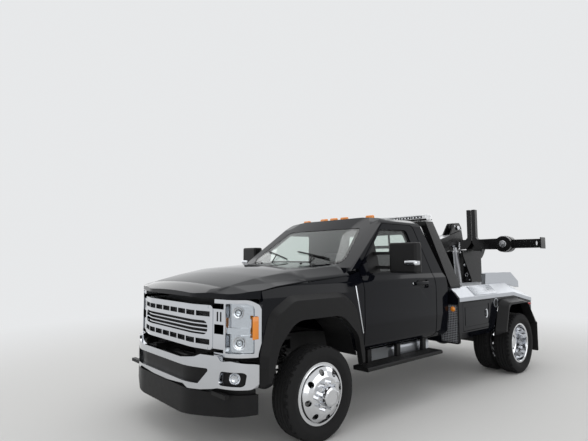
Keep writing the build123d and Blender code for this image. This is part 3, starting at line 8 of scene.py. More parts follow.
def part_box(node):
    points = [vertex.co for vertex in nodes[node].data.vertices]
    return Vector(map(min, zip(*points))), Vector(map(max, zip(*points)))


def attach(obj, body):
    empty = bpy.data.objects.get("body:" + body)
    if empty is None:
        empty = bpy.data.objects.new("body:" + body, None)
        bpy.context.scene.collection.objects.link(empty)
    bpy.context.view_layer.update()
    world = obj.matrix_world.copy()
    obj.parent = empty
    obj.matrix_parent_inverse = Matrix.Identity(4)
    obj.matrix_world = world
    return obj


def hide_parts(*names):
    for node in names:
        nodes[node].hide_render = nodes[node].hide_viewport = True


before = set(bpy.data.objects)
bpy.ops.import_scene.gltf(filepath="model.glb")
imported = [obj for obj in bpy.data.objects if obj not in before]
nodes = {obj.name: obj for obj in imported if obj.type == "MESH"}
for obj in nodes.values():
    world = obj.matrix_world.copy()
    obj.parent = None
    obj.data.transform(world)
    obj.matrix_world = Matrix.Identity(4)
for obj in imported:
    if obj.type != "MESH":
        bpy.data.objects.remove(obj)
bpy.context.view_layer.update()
bpy.ops.object.select_all(action="DESELECT")

# The view and the studio
# The truck is seen from chest height off its front left corner through a wide lens. It stands on a
# plain pale floor that fades into a pale backdrop, under a large soft box with four more around it.
camera_place = (3.885, -4.750, 1.550)
camera_heading = radians(138.864)
camera_pitch = radians(4.888)
camera_roll = radians(0.147)
camera_lens = 27.64
sensor_width = 36
floor_colour = (0.72, 0.72, 0.71, 1)
backdrop_colour = (0.80, 0.81, 0.82, 1)
room_strength = 0.47
floor_fade = (3.2, 9.0)
floor_size = 90
aimed_at = Vector((0, 0, 1))

camera_data = bpy.data.cameras.new("view")
camera_data.sensor_width = sensor_width
camera_data.lens = camera_lens
camera = bpy.data.objects.new("view", camera_data)
bpy.context.scene.collection.objects.link(camera)
camera.location = camera_place
level = cos(camera_pitch)
aim = Vector((level * cos(camera_heading), level * sin(camera_heading), sin(camera_pitch)))
camera.rotation_mode = "QUATERNION"
camera.rotation_quaternion = Quaternion(aim, camera_roll) @ aim.to_track_quat("-Z", "Y")
bpy.context.scene.camera = camera
bpy.context.scene.view_settings.view_transform = "Standard"


def shader_node(tree, kind, values=(), **settings):
    """A new node of a shader, with its settings and the values of its open sockets."""
    node = tree.nodes.new(f"ShaderNode{kind}")
    for setting, value in settings.items():
        setattr(node, setting, value)
    for socket, value in dict(values).items():
        node.inputs[socket].default_value = value
    return node


def feed(tree, source, output, target, socket):
    """Links one node's output to another's socket."""
    tree.links.new(source.outputs[output], target.inputs[socket])


def seen_rays(tree):
    """The rays that show the backdrop: those from the camera and those mirrored or passed on by a piece."""
    path = shader_node(tree, "LightPath")
    total = shader_node(tree, "Math", operation="ADD")
    feed(tree, path, "Is Camera Ray", total, 0)
    feed(tree, path, "Is Glossy Ray", total, 1)
    total_too = shader_node(tree, "Math", operation="ADD", use_clamp=True)
    feed(tree, total, 0, total_too, 0)
    feed(tree, path, "Is Transmission Ray", total_too, 1)
    return total_too


world = bpy.data.worlds.new("studio")
bpy.context.scene.world = world
world.use_nodes = True
room = world.node_tree
room.nodes.clear()
room_light = shader_node(room, "Background", {"Color": (1, 1, 1, 1), "Strength": room_strength})
backdrop = shader_node(room, "Background", {"Color": backdrop_colour})
room_mix = shader_node(room, "MixShader")
room_out = shader_node(room, "OutputWorld")
feed(room, seen_rays(room), 0, room_mix, 0)
feed(room, room_light, 0, room_mix, 1)
feed(room, backdrop, 0, room_mix, 2)
feed(room, room_mix, 0, room_out, 0)

# Soft boxes: name, place, size, power
for box_name, place, size, power in (
    ("overhead_box", (0.5, -1.0, 6.5), (7.0, 7.0), 165),
    ("front_box", (6.0, -7.5, 3.2), (6.0, 5.0), 130),
    ("side_box", (8.5, 2.0, 3.0), (8.0, 4.0), 110),
    ("far_box", (-7.0, -3.0, 4.0), (8.0, 5.0), 110),
    ("rear_box", (0.0, 9.0, 4.5), (9.0, 5.0), 130),
):
    light_data = bpy.data.lights.new(box_name, "AREA")
    light_data.shape = "RECTANGLE"
    light_data.size, light_data.size_y = size
    light_data.energy = power
    light = bpy.data.objects.new(box_name, light_data)
    bpy.context.scene.collection.objects.link(light)
    light.location = place
    light.rotation_mode = "QUATERNION"
    light.rotation_quaternion = (aimed_at - Vector(place)).to_track_quat("-Z", "Y")

bpy.ops.mesh.primitive_plane_add(size=floor_size)
floor = bpy.context.object
floor.name = "floor"


def finish_of(name, colour, roughness, metallic=0.0, coat=0.0, tone=0.10, rough_spread=0.08, scale=18.0,
              bump=0.02, bump_scale=220.0, **sockets):
    """A finish whose colour and roughness drift with a broad noise, over a fine relief."""
    finish = bpy.data.materials.new(name)
    finish.use_nodes = True
    tree = finish.node_tree
    shader = tree.nodes["Principled BSDF"]
    shader.inputs["Metallic"].default_value = metallic
    shader.inputs["Coat Weight"].default_value = coat
    shader.inputs["Coat Roughness"].default_value = 0.03
    for socket, value in sockets.items():
        shader.inputs[socket.replace("_", " ")].default_value = value
    where = shader_node(tree, "TexCoord")
    drift = shader_node(tree, "TexNoise", {"Scale": scale, "Detail": 6})
    feed(tree, where, "Object", drift, "Vector")
    darker = (*[c * (1 - tone) for c in colour[:3]], 1)
    lighter = (*[min(1, c * (1 + tone)) for c in colour[:3]], 1)
    tint = shader_node(tree, "Mix", {"A": darker, "B": lighter}, data_type="RGBA")
    feed(tree, drift, "Fac", tint, "Factor")
    feed(tree, tint, "Result", shader, "Base Color")
    spread = shader_node(tree, "MapRange", {"To Min": max(0.0, roughness - rough_spread),
                                            "To Max": min(1.0, roughness + rough_spread)})
    feed(tree, drift, "Fac", spread, "Value")
    feed(tree, spread, "Result", shader, "Roughness")
    if bump:
        relief = shader_node(tree, "TexNoise", {"Scale": bump_scale, "Detail": 3})
        feed(tree, where, "Object", relief, "Vector")
        raised = shader_node(tree, "Bump", {"Strength": bump, "Distance": 0.001})
        feed(tree, relief, "Fac", raised, "Height")
        feed(tree, raised, "Normal", shader, "Normal")
    return finish


floor_finish = finish_of("studio_floor", floor_colour, 0.85, tone=0.01, bump=0)
floor.data.materials.append(floor_finish)
tree = floor_finish.node_tree
reach = shader_node(tree, "VectorMath", operation="LENGTH")
fade = shader_node(tree, "MapRange", {"From Min": floor_fade[0], "From Max": floor_fade[1]},
                   interpolation_type="SMOOTHSTEP")
only_seen = shader_node(tree, "Math", operation="MULTIPLY")
far_floor = shader_node(tree, "Emission", {"Color": backdrop_colour})
floor_mix = shader_node(tree, "MixShader")
feed(tree, tree.nodes["Texture Coordinate"], "Object", reach, 0)
feed(tree, reach, "Value", fade, "Value")
feed(tree, fade, "Result", only_seen, 0)
feed(tree, seen_rays(tree), 0, only_seen, 1)
feed(tree, only_seen, 0, floor_mix, 0)
feed(tree, tree.nodes["Principled BSDF"], 0, floor_mix, 1)
feed(tree, far_floor, 0, floor_mix, 2)
feed(tree, floor_mix, 0, tree.nodes["Material Output"], "Surface")

# Painted bodywork
# Cab, hood, fenders, doors and tool boxes are pressed steel and aluminium in gloss black enamel
# under a clear coat, with the faint ripple that sprayed paint keeps.
sides = (("left", 1), ("right", -1))
body_black = finish_of("body_black", (0.0030, 0.0034, 0.0055), 0.06, coat=0.04, tone=0.15, rough_spread=0.03,
                       bump=0.012, bump_scale=90, Specular_IOR_Level=0.15)


def dress(finish, *names):
    """Gives CAD pieces their finish."""
    for name in names:
        node = nodes[name]
        node.data.materials.clear()
        node.data.materials.append(finish)


dress(body_black, "cab_shell", "hood", "front_fenders", "side_boxes")
for side, _ in sides:
    dress(body_black, f"{side}_door", f"{side}_toolbox_door")

# Tyres
# Low-profile commercial radials: natural rubber moulded with five ribs, sipes cut across the
# shoulders, a scuff rib on the sidewall and a bead against the rim flange.
tyre_rubber = finish_of("tyre_rubber", (0.012, 0.012, 0.0125), 0.78, tone=0.25, bump=0.15, bump_scale=160,
                        Specular_IOR_Level=0.2)
tyre_steps = 90
groove_depth = 0.011
groove_half = 0.0045
shoulder_drop = 0.012
sipe_edge = 0.003
sipe_depth = 0.007
bead_tuck = 0.006


def lone():
    """Leaves nothing selected, so that the next operator acts on the next piece alone."""
    if bpy.context.mode != "OBJECT":
        bpy.ops.object.mode_set(mode="OBJECT")
    bpy.ops.object.select_all(action="DESELECT")


def alone(piece):
    """Leaves one piece selected and active."""
    lone()
    piece.select_set(True)
    bpy.context.view_layer.objects.active = piece


def settle(piece, name, finish, body="truck", smooth=35):
    """Names a finished piece, puts its place in its mesh, gives it its finish and lets it ride."""
    alone(piece)
    bpy.ops.object.transform_apply(location=True, rotation=True, scale=True)
    bpy.ops.object.shade_smooth_by_angle(angle=radians(smooth))
    piece.name = name
    piece.data.name = name
    piece.data.materials.clear()
    piece.data.materials.append(finish)
    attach(piece, body)
    return piece


def turned(section, place, heading, steps=48):
    """A round piece spun from its half section of (distance along the axis, radius) points."""
    lone()
    bpy.context.tool_settings.mesh_select_mode = (True, False, False)
    bpy.ops.mesh.primitive_plane_add(size=0.002)
    piece = bpy.context.object
    bpy.ops.object.mode_set(mode="EDIT")
    bpy.ops.mesh.merge(type="CENTER")
    bpy.ops.transform.translate(value=(section[0][1], 0, section[0][0]))
    for (along, radius), (next_along, next_radius) in zip(section, section[1:]):
        bpy.ops.mesh.extrude_region_move(
            TRANSFORM_OT_translate={"value": (next_radius - radius, 0, next_along - along)}
        )
    bpy.ops.mesh.select_all(action="SELECT")
    bpy.ops.mesh.spin(steps=steps, angle=2 * pi, center=(0, 0, 0), axis=(0, 0, 1))
    bpy.ops.mesh.select_all(action="SELECT")
    bpy.ops.mesh.remove_doubles(threshold=1e-5)
    bpy.ops.mesh.normals_make_consistent(inside=False)
    bpy.ops.object.mode_set(mode="OBJECT")
    piece.rotation_mode = "QUATERNION"
    piece.rotation_quaternion = Vector((0, 0, 1)).rotation_difference(Vector(heading))
    piece.location = place
    bpy.ops.object.transform_apply(location=True, rotation=True, scale=True)
    return piece


def joined(pieces):
    """Several meshes made one."""
    lone()
    for piece in pieces:
        piece.select_set(True)
    bpy.context.view_layer.objects.active = pieces[0]
    bpy.ops.object.join()
    return pieces[0]


def tyre(centre_x, centre_y, centre_z, radius, half, bead):
    """One tyre about a line across the truck, with its ribs, shoulder sipes and sidewall ribs."""
    wall = radius - bead
    section = [(-half * 0.62, bead), (-half * 0.80, bead + 0.012), (-half * 0.98, bead + wall * 0.38),
               (-half, bead + wall * 0.52), (-half * 0.985, bead + wall * 0.56),
               (-half * 0.99, bead + wall * 0.60), (-half * 0.93, bead + wall * 0.80),
               (-half * 0.88, radius - 0.014), (-half * 0.80, radius - 0.004), (-half * 0.68, radius - 0.001)]
    lip, floor_r = radius - 0.0005, radius - groove_depth
    for groove in (-half * 0.50, -half * 0.17, half * 0.17, half * 0.50):
        section += [(groove - groove_half, lip), (groove - groove_half * 0.6, floor_r),
                    (groove + groove_half * 0.6, floor_r), (groove + groove_half, lip)]
    section += [(-along, r) for along, r in section[9::-1]]
    piece = turned(section, (centre_x, centre_y, centre_z), (1, 0, 0), tyre_steps)
    # Sipes: every second shoulder face sinks into the tread
    bpy.context.tool_settings.mesh_select_mode = (False, False, True)
    for face in piece.data.polygons:
        middle = face.center - Vector((centre_x, centre_y, centre_z))
        step = int((atan2(middle.z, middle.y) + pi) / (2 * pi) * tyre_steps)
        out = Vector((0, middle.y, middle.z)).length
        on_shoulder = abs(middle.x) > half * 0.52 and out > radius - shoulder_drop
        face.select = on_shoulder and step % 2 == 0
    bpy.context.view_layer.objects.active = piece
    bpy.ops.object.mode_set(mode="EDIT")
    bpy.ops.mesh.inset(thickness=sipe_edge, use_individual=True)
    bpy.ops.transform.shrink_fatten(value=-sipe_depth)
    bpy.ops.object.mode_set(mode="OBJECT")
    return piece


for side, k in sides:
    wheel = f"front_{side}_wheel"
    rim_low, rim_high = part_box(wheel)
    bead = (rim_high.z - rim_low.z) / 2 - bead_tuck
    low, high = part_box(f"front_{side}_tyre")
    half = (high.x - low.x) / 2
    radius = (high.z - low.z) / 2
    centre = (low + high) / 2
    piece = tyre(*centre, radius, half, bead)
    settle(piece, f"front_{side}_tyre_tread", tyre_rubber, wheel)
    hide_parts(f"front_{side}_tyre")
    low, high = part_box(f"rear_{side}_tyres")
    centre = (low + high) / 2
    spots = (low.x + half, high.x - half)
    pair = [tyre(x, centre.y, centre.z, radius, half, bead) for x in spots]
    piece = settle(joined(pair), f"rear_{side}_tyre_treads", tyre_rubber, f"rear_{side}_wheels")
    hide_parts(f"rear_{side}_tyres")

# Wheels
# Forged aluminium discs, polished by the maker, with ten hand holes; the front ones carry a plated
# hub cap over the hub, and each outer wheel has a plated valve in one hand hole.
polished_alloy = finish_of("polished_alloy", (0.70, 0.71, 0.73), 0.10, metallic=1, tone=0.05,
                           rough_spread=0.05)
plated = finish_of("chrome", (0.60, 0.615, 0.64), 0.05, metallic=1, tone=0.03, rough_spread=0.02, bump=0.005)
valve_length = 0.055
# Distance from the wheel's outer face back to the valve's foot, and the foot's place beside the centre
valve_back = {"front": 0.115, "rear": 0.125}
valve_aside = Vector((0, 0.150, 0.086))
for side, k in sides:
    dress(polished_alloy, f"front_{side}_wheel", f"rear_{side}_wheels")
    for row, node in (("front", f"front_{side}_wheel"), ("rear", f"rear_{side}_wheels")):
        low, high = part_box(node)
        foot = (low + high) / 2 + valve_aside
        foot.x = (high.x if k > 0 else low.x) - k * valve_back[row]
        stem = turned([(0, 0.001), (0, 0.007), (0.012, 0.006), (0.016, 0.0035), (0.042, 0.0035),
                       (0.043, 0.0048), (valve_length, 0.0048), (valve_length, 0.0005)], foot, (k, 0, 0), 16)
        settle(stem, f"{row}_{side}_valve", plated, node)

# Glass
# The windshield is laminated and slightly green, set in black urethane behind a baked black border;
# the door and back panes are tempered sheets in rubber channels.
window_glass = finish_of("window_glass", (0.80, 0.86, 0.83), 0.02, tone=0.02, rough_spread=0.01, bump=0,
                         Transmission_Weight=1.0, IOR=1.45)
seal_rubber = finish_of("rubber", (0.012, 0.012, 0.012), 0.62, tone=0.2, bump=0.08, Specular_IOR_Level=0.25)
dress(window_glass, "cab_glass", "left_door_glass", "right_door_glass")
frit_width = 0.038


def copy_of(node):
    """A copy of a CAD piece with a mesh of its own, alone selected and active."""
    piece = nodes[node].copy()
    piece.data = nodes[node].data.copy()
    piece.parent = None
    piece.matrix_world = nodes[node].matrix_world
    bpy.context.scene.collection.objects.link(piece)
    alone(piece)
    return piece


def skin_of(node, name, pick, lift):
    """A thin copy of the picked faces of a CAD piece, lifted off it along their normals."""
    piece = copy_of(node)
    piece.name = name
    bpy.context.tool_settings.mesh_select_mode = (False, False, True)
    bpy.ops.object.mode_set(mode="EDIT")
    bpy.ops.mesh.select_all(action="SELECT")
    bpy.ops.mesh.remove_doubles(threshold=1e-5)
    bpy.ops.mesh.select_all(action="DESELECT")
    bpy.ops.object.mode_set(mode="OBJECT")
    for face in piece.data.polygons:
        face.select = not pick(face.center, face.normal)
    bpy.ops.object.mode_set(mode="EDIT")
    bpy.ops.mesh.delete(type="FACE")
    bpy.ops.mesh.select_all(action="SELECT")
    bpy.ops.transform.shrink_fatten(value=lift)
    bpy.ops.object.mode_set(mode="OBJECT")
    return piece


def worked(piece, kind, **settings):
    """Applies one modifier, with its settings, to a piece that is the active object."""
    modifier = piece.modifiers.new("work", kind)
    for setting, value in settings.items():
        setattr(modifier, setting, value)
    bpy.ops.object.modifier_apply(modifier=modifier.name)
    return piece


def bordered(piece, width, thickness):
    """Keeps only a border as wide as given round an open sheet, and thickens it inwards."""
    bpy.context.view_layer.objects.active = piece
    bpy.ops.object.mode_set(mode="EDIT")
    bpy.ops.mesh.select_all(action="SELECT")
    bpy.ops.mesh.dissolve_limited(angle_limit=radians(9))
    bpy.ops.mesh.select_all(action="SELECT")
    bpy.ops.mesh.inset(thickness=width, use_boundary=True)
    bpy.ops.mesh.delete(type="FACE")
    bpy.ops.object.mode_set(mode="OBJECT")
    return worked(piece, "SOLIDIFY", thickness=thickness)


windshield = skin_of("cab_glass", "screen_border", lambda c, n: n.y < -0.3 and c.y < -0.6, 0.0006)
border = bordered(windshield, frit_width, 0.0005)
settle(border, "windshield_border", seal_rubber)

# Wipers
# Two pressed steel arms painted black, each clamped on a splined pivot at the foot of the windshield
# under a round cap; each carries a flat rubber blade on a spine.
black_plastic = finish_of("black_plastic", (0.010, 0.010, 0.0105), 0.42, tone=0.2, bump=0.10, bump_scale=600,
                          Specular_IOR_Level=0.16)


def rounded_block(low, high, rounding, segments=3):
    """A block between two corners with its edges rounded."""
    lone()
    size = [abs(b - a) for a, b in zip(low, high)]
    bpy.ops.mesh.primitive_cube_add(size=1, location=[(a + b) / 2 for a, b in zip(low, high)], scale=size)
    piece = bpy.context.object
    bpy.ops.object.transform_apply(location=True, rotation=False, scale=True)
    return worked(piece, "BEVEL", width=rounding, segments=segments)


def bar(start, end, width, thickness, rounding=0.002, across=(1, 0, 0)):
    """A flat bar between two points, whose width lies along a given direction."""
    start, end = Vector(start), Vector(end)
    run = end - start
    piece = rounded_block((-width / 2, -thickness / 2, 0), (width / 2, thickness / 2, run.length),
                          rounding, 2)
    piece.data.transform(frame_along(run, Vector(across)).to_4x4())
    piece.location = piece.location + start
    return piece


def frame_along(run, across):
    """A turn that takes z to a run's direction and x near a given direction."""
    up = run.normalized()
    flat = (across - up * across.dot(up)).normalized()
    return Matrix((flat, up.cross(flat), up)).transposed()


def screen_point(x, z, proud):
    """A point on the windshield's outer face at a given x and height, moved out towards the front."""
    place = nodes["cab_glass"].ray_cast(Vector((x, -4, z)), Vector((0, 1, 0)))[1]
    return place + Vector((0, -0.6, 0.8)) * proud


blade_proud = 0.012
spine_rise = Vector((0, -0.006, 0.008))
arm_rise = Vector((0, -0.012, 0.014))
# Pivot x, the blade's two ends on the glass
for number, (pivot_x, foot, tip) in enumerate((
    (0.330, (0.560, 1.545), (-0.020, 1.625)), (-0.330, (-0.080, 1.540), (-0.640, 1.640)),
)):
    blade_low = screen_point(*foot, blade_proud)
    blade_high = screen_point(*tip, blade_proud)
    blade = bar(blade_low, blade_high, 0.012, 0.016, 0.003, (0, 0, 1))
    spine = bar(blade_low.lerp(blade_high, 0.06) + spine_rise,
                blade_low.lerp(blade_high, 0.94) + spine_rise, 0.007, 0.006, 0.002, (0, 0, 1))
    pivot = Vector((pivot_x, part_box("cab_shell")[0].y + 0.035, 1.480))
    reach = blade_low.lerp(blade_high, 0.48) + arm_rise
    arm = bar(pivot, reach, 0.016, 0.007, 0.003)
    cap = turned([(-0.02, 0.001), (-0.02, 0.016), (0.010, 0.015), (0.014, 0.011), (0.015, 0.0005)],
                 pivot, (0, -0.4, 0.9), 24)
    wiper = joined([blade, spine, arm, cap])
    settle(wiper, f"wiper_{number + 1}", black_plastic)

# Grille
# A plated frame moulded in one, its two clasps hooked over the lamps; behind it stand a square mesh
# of black wire and a dark sheet, both bent to the nose. The dark sheet is painted shade inside the nose.
dress(plated, "grille")
mesh_black = finish_of("mesh_black", (0.012, 0.012, 0.013), 0.5, tone=0.2, bump=0.05)
grille_low, grille_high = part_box("grille")
grille_half = 0.64
screen_gap = 0.052
web = 0.0035
hood_edge = 0.004


@cache
def nose_y(x):
    """The y of the truck's curved front at a given x, read from the hood's front edge."""
    start = Vector((x, -5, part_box("hood")[0].z + hood_edge))
    return nodes["hood"].ray_cast(start, Vector((0, 1, 0)))[1].y


def nose_sheet(x_from, x_to, z_from, z_to, back, columns, rows):
    """A grid that follows the curved front of the truck, set back from it."""
    lone()
    bpy.ops.mesh.primitive_grid_add(x_subdivisions=columns, y_subdivisions=rows, size=1)
    piece = bpy.context.object
    for vertex in piece.data.vertices:
        x = x_from + (vertex.co.x + 0.5) * (x_to - x_from)
        z = z_from + (vertex.co.y + 0.5) * (z_to - z_from)
        vertex.co = (x, nose_y(x) + back, z)
    return piece


screen = nose_sheet(-grille_half, grille_half, grille_low.z + 0.02, grille_high.z - 0.02, screen_gap, 60, 16)
worked(screen, "WIREFRAME", thickness=web, use_even_offset=False)
settle(screen, "grille_screen", mesh_black)
# The dark sheet is painted shade: it stands for the darkness inside the nose
shade = nose_sheet(-grille_half, grille_half, grille_low.z + 0.01, grille_high.z - 0.01, screen_gap + 0.012,
                   40, 2)
worked(shade, "SOLIDIFY", thickness=0.004)
settle(shade, "grille_shade", mesh_black)

# Headlamps
# A plated surround holds two round lamp units over each other, each with a bright bowl, a dark ring
# and a projector lens, behind one clear polycarbonate cover; an amber marker sits round the corner.
dress(plated, "headlamps")
lamp_glass = finish_of("lamp_lens", (0.93, 0.95, 0.96), 0.02, tone=0.01, rough_spread=0.01, bump=0,
                       Transmission_Weight=1.0, IOR=1.2)
lamp_dark = finish_of("lamp_housing", (0.05, 0.052, 0.056), 0.25, metallic=0.6, tone=0.1, bump=0.02)
amber = finish_of("amber_lens", (0.85, 0.27, 0.02), 0.12, tone=0.08, coat=0.4, bump=0)
lamp_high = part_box("headlamps")[1]
# Lamp units: middle x, middle z, half width, half height
lamp_units = ((0.892, 1.128, 0.058, 0.050), (0.900, 0.895, 0.056, 0.055))
unit_back = 0.0125
# Sheets of a lamp: from x, to x, from z, to z, set back
cover_span = (0.793, 0.968, 0.812, 1.199, 0.004)
wall_span = (0.796, 0.966, 0.815, 1.196, 0.0445)


def nose_out(x):
    """The direction that the truck's curved front faces at a given x."""
    span = 0.01
    slope = (nose_y(x + span) - nose_y(x - span)) / (2 * span)
    return Vector((slope, -1, 0)).normalized()


def lamp_sheet(k, span, thickness):
    """One sheet of a lamp on one side, as wide and as high as its span."""
    x_from, x_to, z_from, z_to, back = span
    sheet = nose_sheet(k * x_from, k * x_to, z_from, z_to, back, 14, 10)
    return worked(sheet, "SOLIDIFY", thickness=thickness)


for side, k in sides:
    bowls, shells, rings = [], [], []
    for x, z, half_x, half_z in lamp_units:
        out = nose_out(k * x)
        seat = Vector((k * x, nose_y(k * x), z)) - out * unit_back
        size = min(half_x, half_z)
        bowls.append(turned([(0.0, 0.0005), (0.0, 0.020), (0.0015, 0.0215), (0.0015, size * 0.55),
                             (0.007, size * 0.86), (0.0085, size * 0.90), (0.0085, size * 0.97),
                             (0.0, size * 0.98)], seat, out, 40))
        rings.append(turned([(0.0012, 0.0222), (0.0065, 0.0235), (0.0065, 0.0270), (0.0012, 0.0285)],
                            seat, out, 32))
        shells.append(turned([(0.0005, 0.0005), (0.0085, 0.008), (0.0078, 0.014), (0.0046, 0.0195),
                              (0.0006, 0.0205)], seat, out, 32))
    settle(joined(bowls), f"{side}_lamp_bowls", plated)
    settle(joined(rings), f"{side}_lamp_rings", lamp_dark)
    settle(joined(shells), f"{side}_lamp_projectors", lamp_glass)
    cover = lamp_sheet(k, cover_span, 0.002)
    settle(cover, f"{side}_lamp_cover", lamp_glass)
    # Back wall of the recess, metallised behind the units
    back_wall = lamp_sheet(k, wall_span, 0.001)
    settle(back_wall, f"{side}_lamp_housing", plated)
    marker = rounded_block((k * 0.9835, lamp_high.y - 0.088, 0.925),
                           (k * 0.9905, lamp_high.y - 0.030, 1.100), 0.003)
    settle(marker, f"{side}_lamp_marker", amber)

# Front bumper
# Pressed steel, chromium plated, bolted to the frame's ends; under it hangs the black moulded air
# dam, with a round fog lamp screwed to each end of it.
dress(plated, "front_bumper")
dress(black_plastic, "front_valance")
fog_x, fog_z = 0.868, 0.626
for side, k in sides:
    fog_start = Vector((k * fog_x, -5, fog_z))
    _, back, out, _ = nodes["front_valance"].ray_cast(fog_start, Vector((0, 1, 0)))
    fog = turned([(0, 0.046), (0.014, 0.046), (0.017, 0.042), (0.012, 0.038), (0.006, 0.020),
                  (0.005, 0.0005)], back, out, 36)
    settle(fog, f"{side}_fog_lamp_bowl", plated)
    lens = turned([(0.0145, 0.0375), (0.0175, 0.030), (0.0195, 0.016), (0.0200, 0.0005)], back, out, 36)
    settle(lens, f"{side}_fog_lamp_lens", lamp_glass)

# Doors
# Pressed steel shells, each with a pull handle painted with it, screwed on over a dark cup, a plated
# key barrel in front of the handle and a rubber channel round the pane.
handle_y = -0.357
handle_z = 1.281
handle_half = 0.115
door_face = 0.996
lock_size = 0.011


def oval(section, place, heading, long_half, short_half, long_way, steps=36):
    """A spun piece of radius 1, drawn out one way to an oval."""
    piece = turned(section, (0, 0, 0), (0, 0, 1), steps)
    piece.data.transform(Matrix.Diagonal((long_half, short_half, 1, 1)))
    piece.data.transform(frame_along(Vector(heading), Vector(long_way)).to_4x4())
    piece.location = place
    return piece


def oval_dish(place, heading, long_half, short_half, depth, long_way):
    """A shallow oval dish."""
    section = [(0.0012, 1.0), (0.0012, 0.90), (-depth, 0.62), (-depth, 0.01)]
    return oval(section, place, heading, long_half, short_half, long_way)


for side, k in sides:
    door = f"{side}_door"
    pull = rounded_block((k * (door_face + 0.016), handle_y - handle_half, handle_z - 0.017),
                         (k * (door_face + 0.031), handle_y + handle_half, handle_z + 0.017), 0.007, 4)
    feet = [rounded_block((k * (door_face - 0.004), handle_y + end - 0.016, handle_z - 0.015),
                          (k * (door_face + 0.020), handle_y + end + 0.016, handle_z + 0.015), 0.006)
            for end in (-handle_half + 0.018, handle_half - 0.018)]
    settle(joined([pull, *feet]), f"{door}_handle", body_black, door)
    cup = oval_dish((k * (door_face + 0.0022), handle_y, handle_z), (k, 0, 0), 0.082, 0.036, 0.0005,
                    (0, 1, 0))
    settle(cup, f"{door}_handle_cup", black_plastic, door)
    barrel = turned([(0, lock_size), (0.004, lock_size), (0.005, lock_size * 0.8), (0.005, 0.003),
                     (0.003, 0.0005)],
                    (k * (door_face + 0.001), handle_y - handle_half - 0.030, handle_z), (k, 0, 0), 24)
    settle(barrel, f"{door}_lock", plated, door)
    pane = skin_of(f"{side}_door_glass", f"{side}_channel", lambda c, n: n.x * k > 0.5, 0.0008)
    settle(bordered(pane, 0.016, 0.006), f"{door}_glass_channel", seal_rubber, door)

# Mirrors
# Moulded black heads, each on two arms bolted to the door's front corner, with a flat pane over a
# convex one glued into the back and a plated bezel round a dark turn lamp let into the front.
dress(black_plastic, "left_mirror", "right_mirror")
mirror_glass = finish_of("mirror_glass", (0.82, 0.84, 0.86), 0.01, metallic=1, tone=0.02,
                         rough_spread=0.01, bump=0)
head_width = 0.288
for side, k in sides:
    low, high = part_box(f"{side}_mirror")
    outer = high.x if k > 0 else -low.x
    back = high.y
    inner = outer - head_width
    flat_pane = rounded_block((k * inner, back - 0.002, 1.528), (k * (outer - 0.040), back + 0.002, 1.690),
                              0.0018)
    round_pane = oval([(0, 1.0), (0.0015, 0.97), (0.0045, 0.6), (0.0060, 0.01)],
                      (k * (outer - 0.163), back - 0.001, 1.472), (0, 1, 0), 0.118, 0.038, (1, 0, 0), 40)
    settle(joined([flat_pane, round_pane]), f"{side}_mirror_panes", mirror_glass, f"{side}_door")
    strip = rounded_block((k * (outer - 0.136), low.y + 0.0845, 1.486),
                          (k * (outer - 0.0005), back - 0.050, 1.536), 0.016, 4)
    slit = rounded_block((k * (outer - 0.120), low.y + 0.0835, 1.503),
                         (k * (outer - 0.020), low.y + 0.1, 1.519), 0.006)
    settle(strip, f"{side}_mirror_bezel", plated, f"{side}_door")
    settle(slit, f"{side}_mirror_turn_lamp", lamp_dark, f"{side}_door")

# Fender trim and hood fittings
# A plated plastic strip snaps over the slot behind each front wheel; two moulded black washer jets
# are pushed into holes at the back of the hood.
strip_width = 0.015
for side, k in sides:
    strip = bar((k * 1.0030, -1.452, 1.296), (k * 1.0040, -1.352, 0.840), strip_width, 0.006, 0.0025,
                (0, 1, 0))
    settle(strip, f"{side}_fender_strip", plated)
    _, top, out, _ = nodes["hood"].ray_cast(Vector((k * 0.34, -1.56, 3)), Vector((0, 0, -1)))
    jet = turned([(-0.002, 0.016), (0.003, 0.015), (0.009, 0.009), (0.011, 0.0005)], top, out, 20)
    settle(jet, f"{side}_washer_jet", black_plastic, "hood")

# Cab interior
# The bench is moulded foam in woven cloth over a steel pan, sewn in three seats with piped seams; the
# dashboard is grained polypropylene with round dials under a hood and a screen in the middle.
interior_plastic = finish_of("interior_plastic", (0.045, 0.045, 0.048), 0.6, tone=0.1, bump=0.12,
                             bump_scale=500)
dress(interior_plastic, "dashboard")
seat_cover = finish_of("seat_cover", (0.055, 0.055, 0.060), 0.88, tone=0.18, scale=60, bump=0.25,
                       bump_scale=900, Sheen_Weight=0.3)
seat_voxel = 0.014
seat_frames = 20
seat_cap = 0.016
seam_depth = 0.009
seam_half = 0.011
seams = (-0.247, 0.247)
cushion_rise = 0.13
pipe_line = ((-0.690, 1.160), (-0.640, 1.178), (-0.420, 1.158), (-0.275, 1.140))
pipe_radius = 0.0035


def rail(points, radius, resolution=3):
    """A round strip along a smooth line through given points."""
    line = bpy.data.curves.new("line", "CURVE")
    line.dimensions = "3D"
    line.bevel_depth = radius
    line.bevel_resolution = resolution
    run = line.splines.new("POLY")
    run.points.add(len(points) - 1)
    for point, place in zip(run.points, points):
        point.co = (*place, 1)
    piece = bpy.data.objects.new("line", line)
    bpy.context.scene.collection.objects.link(piece)
    alone(piece)
    bpy.ops.object.convert(target="MESH")
    return bpy.context.object


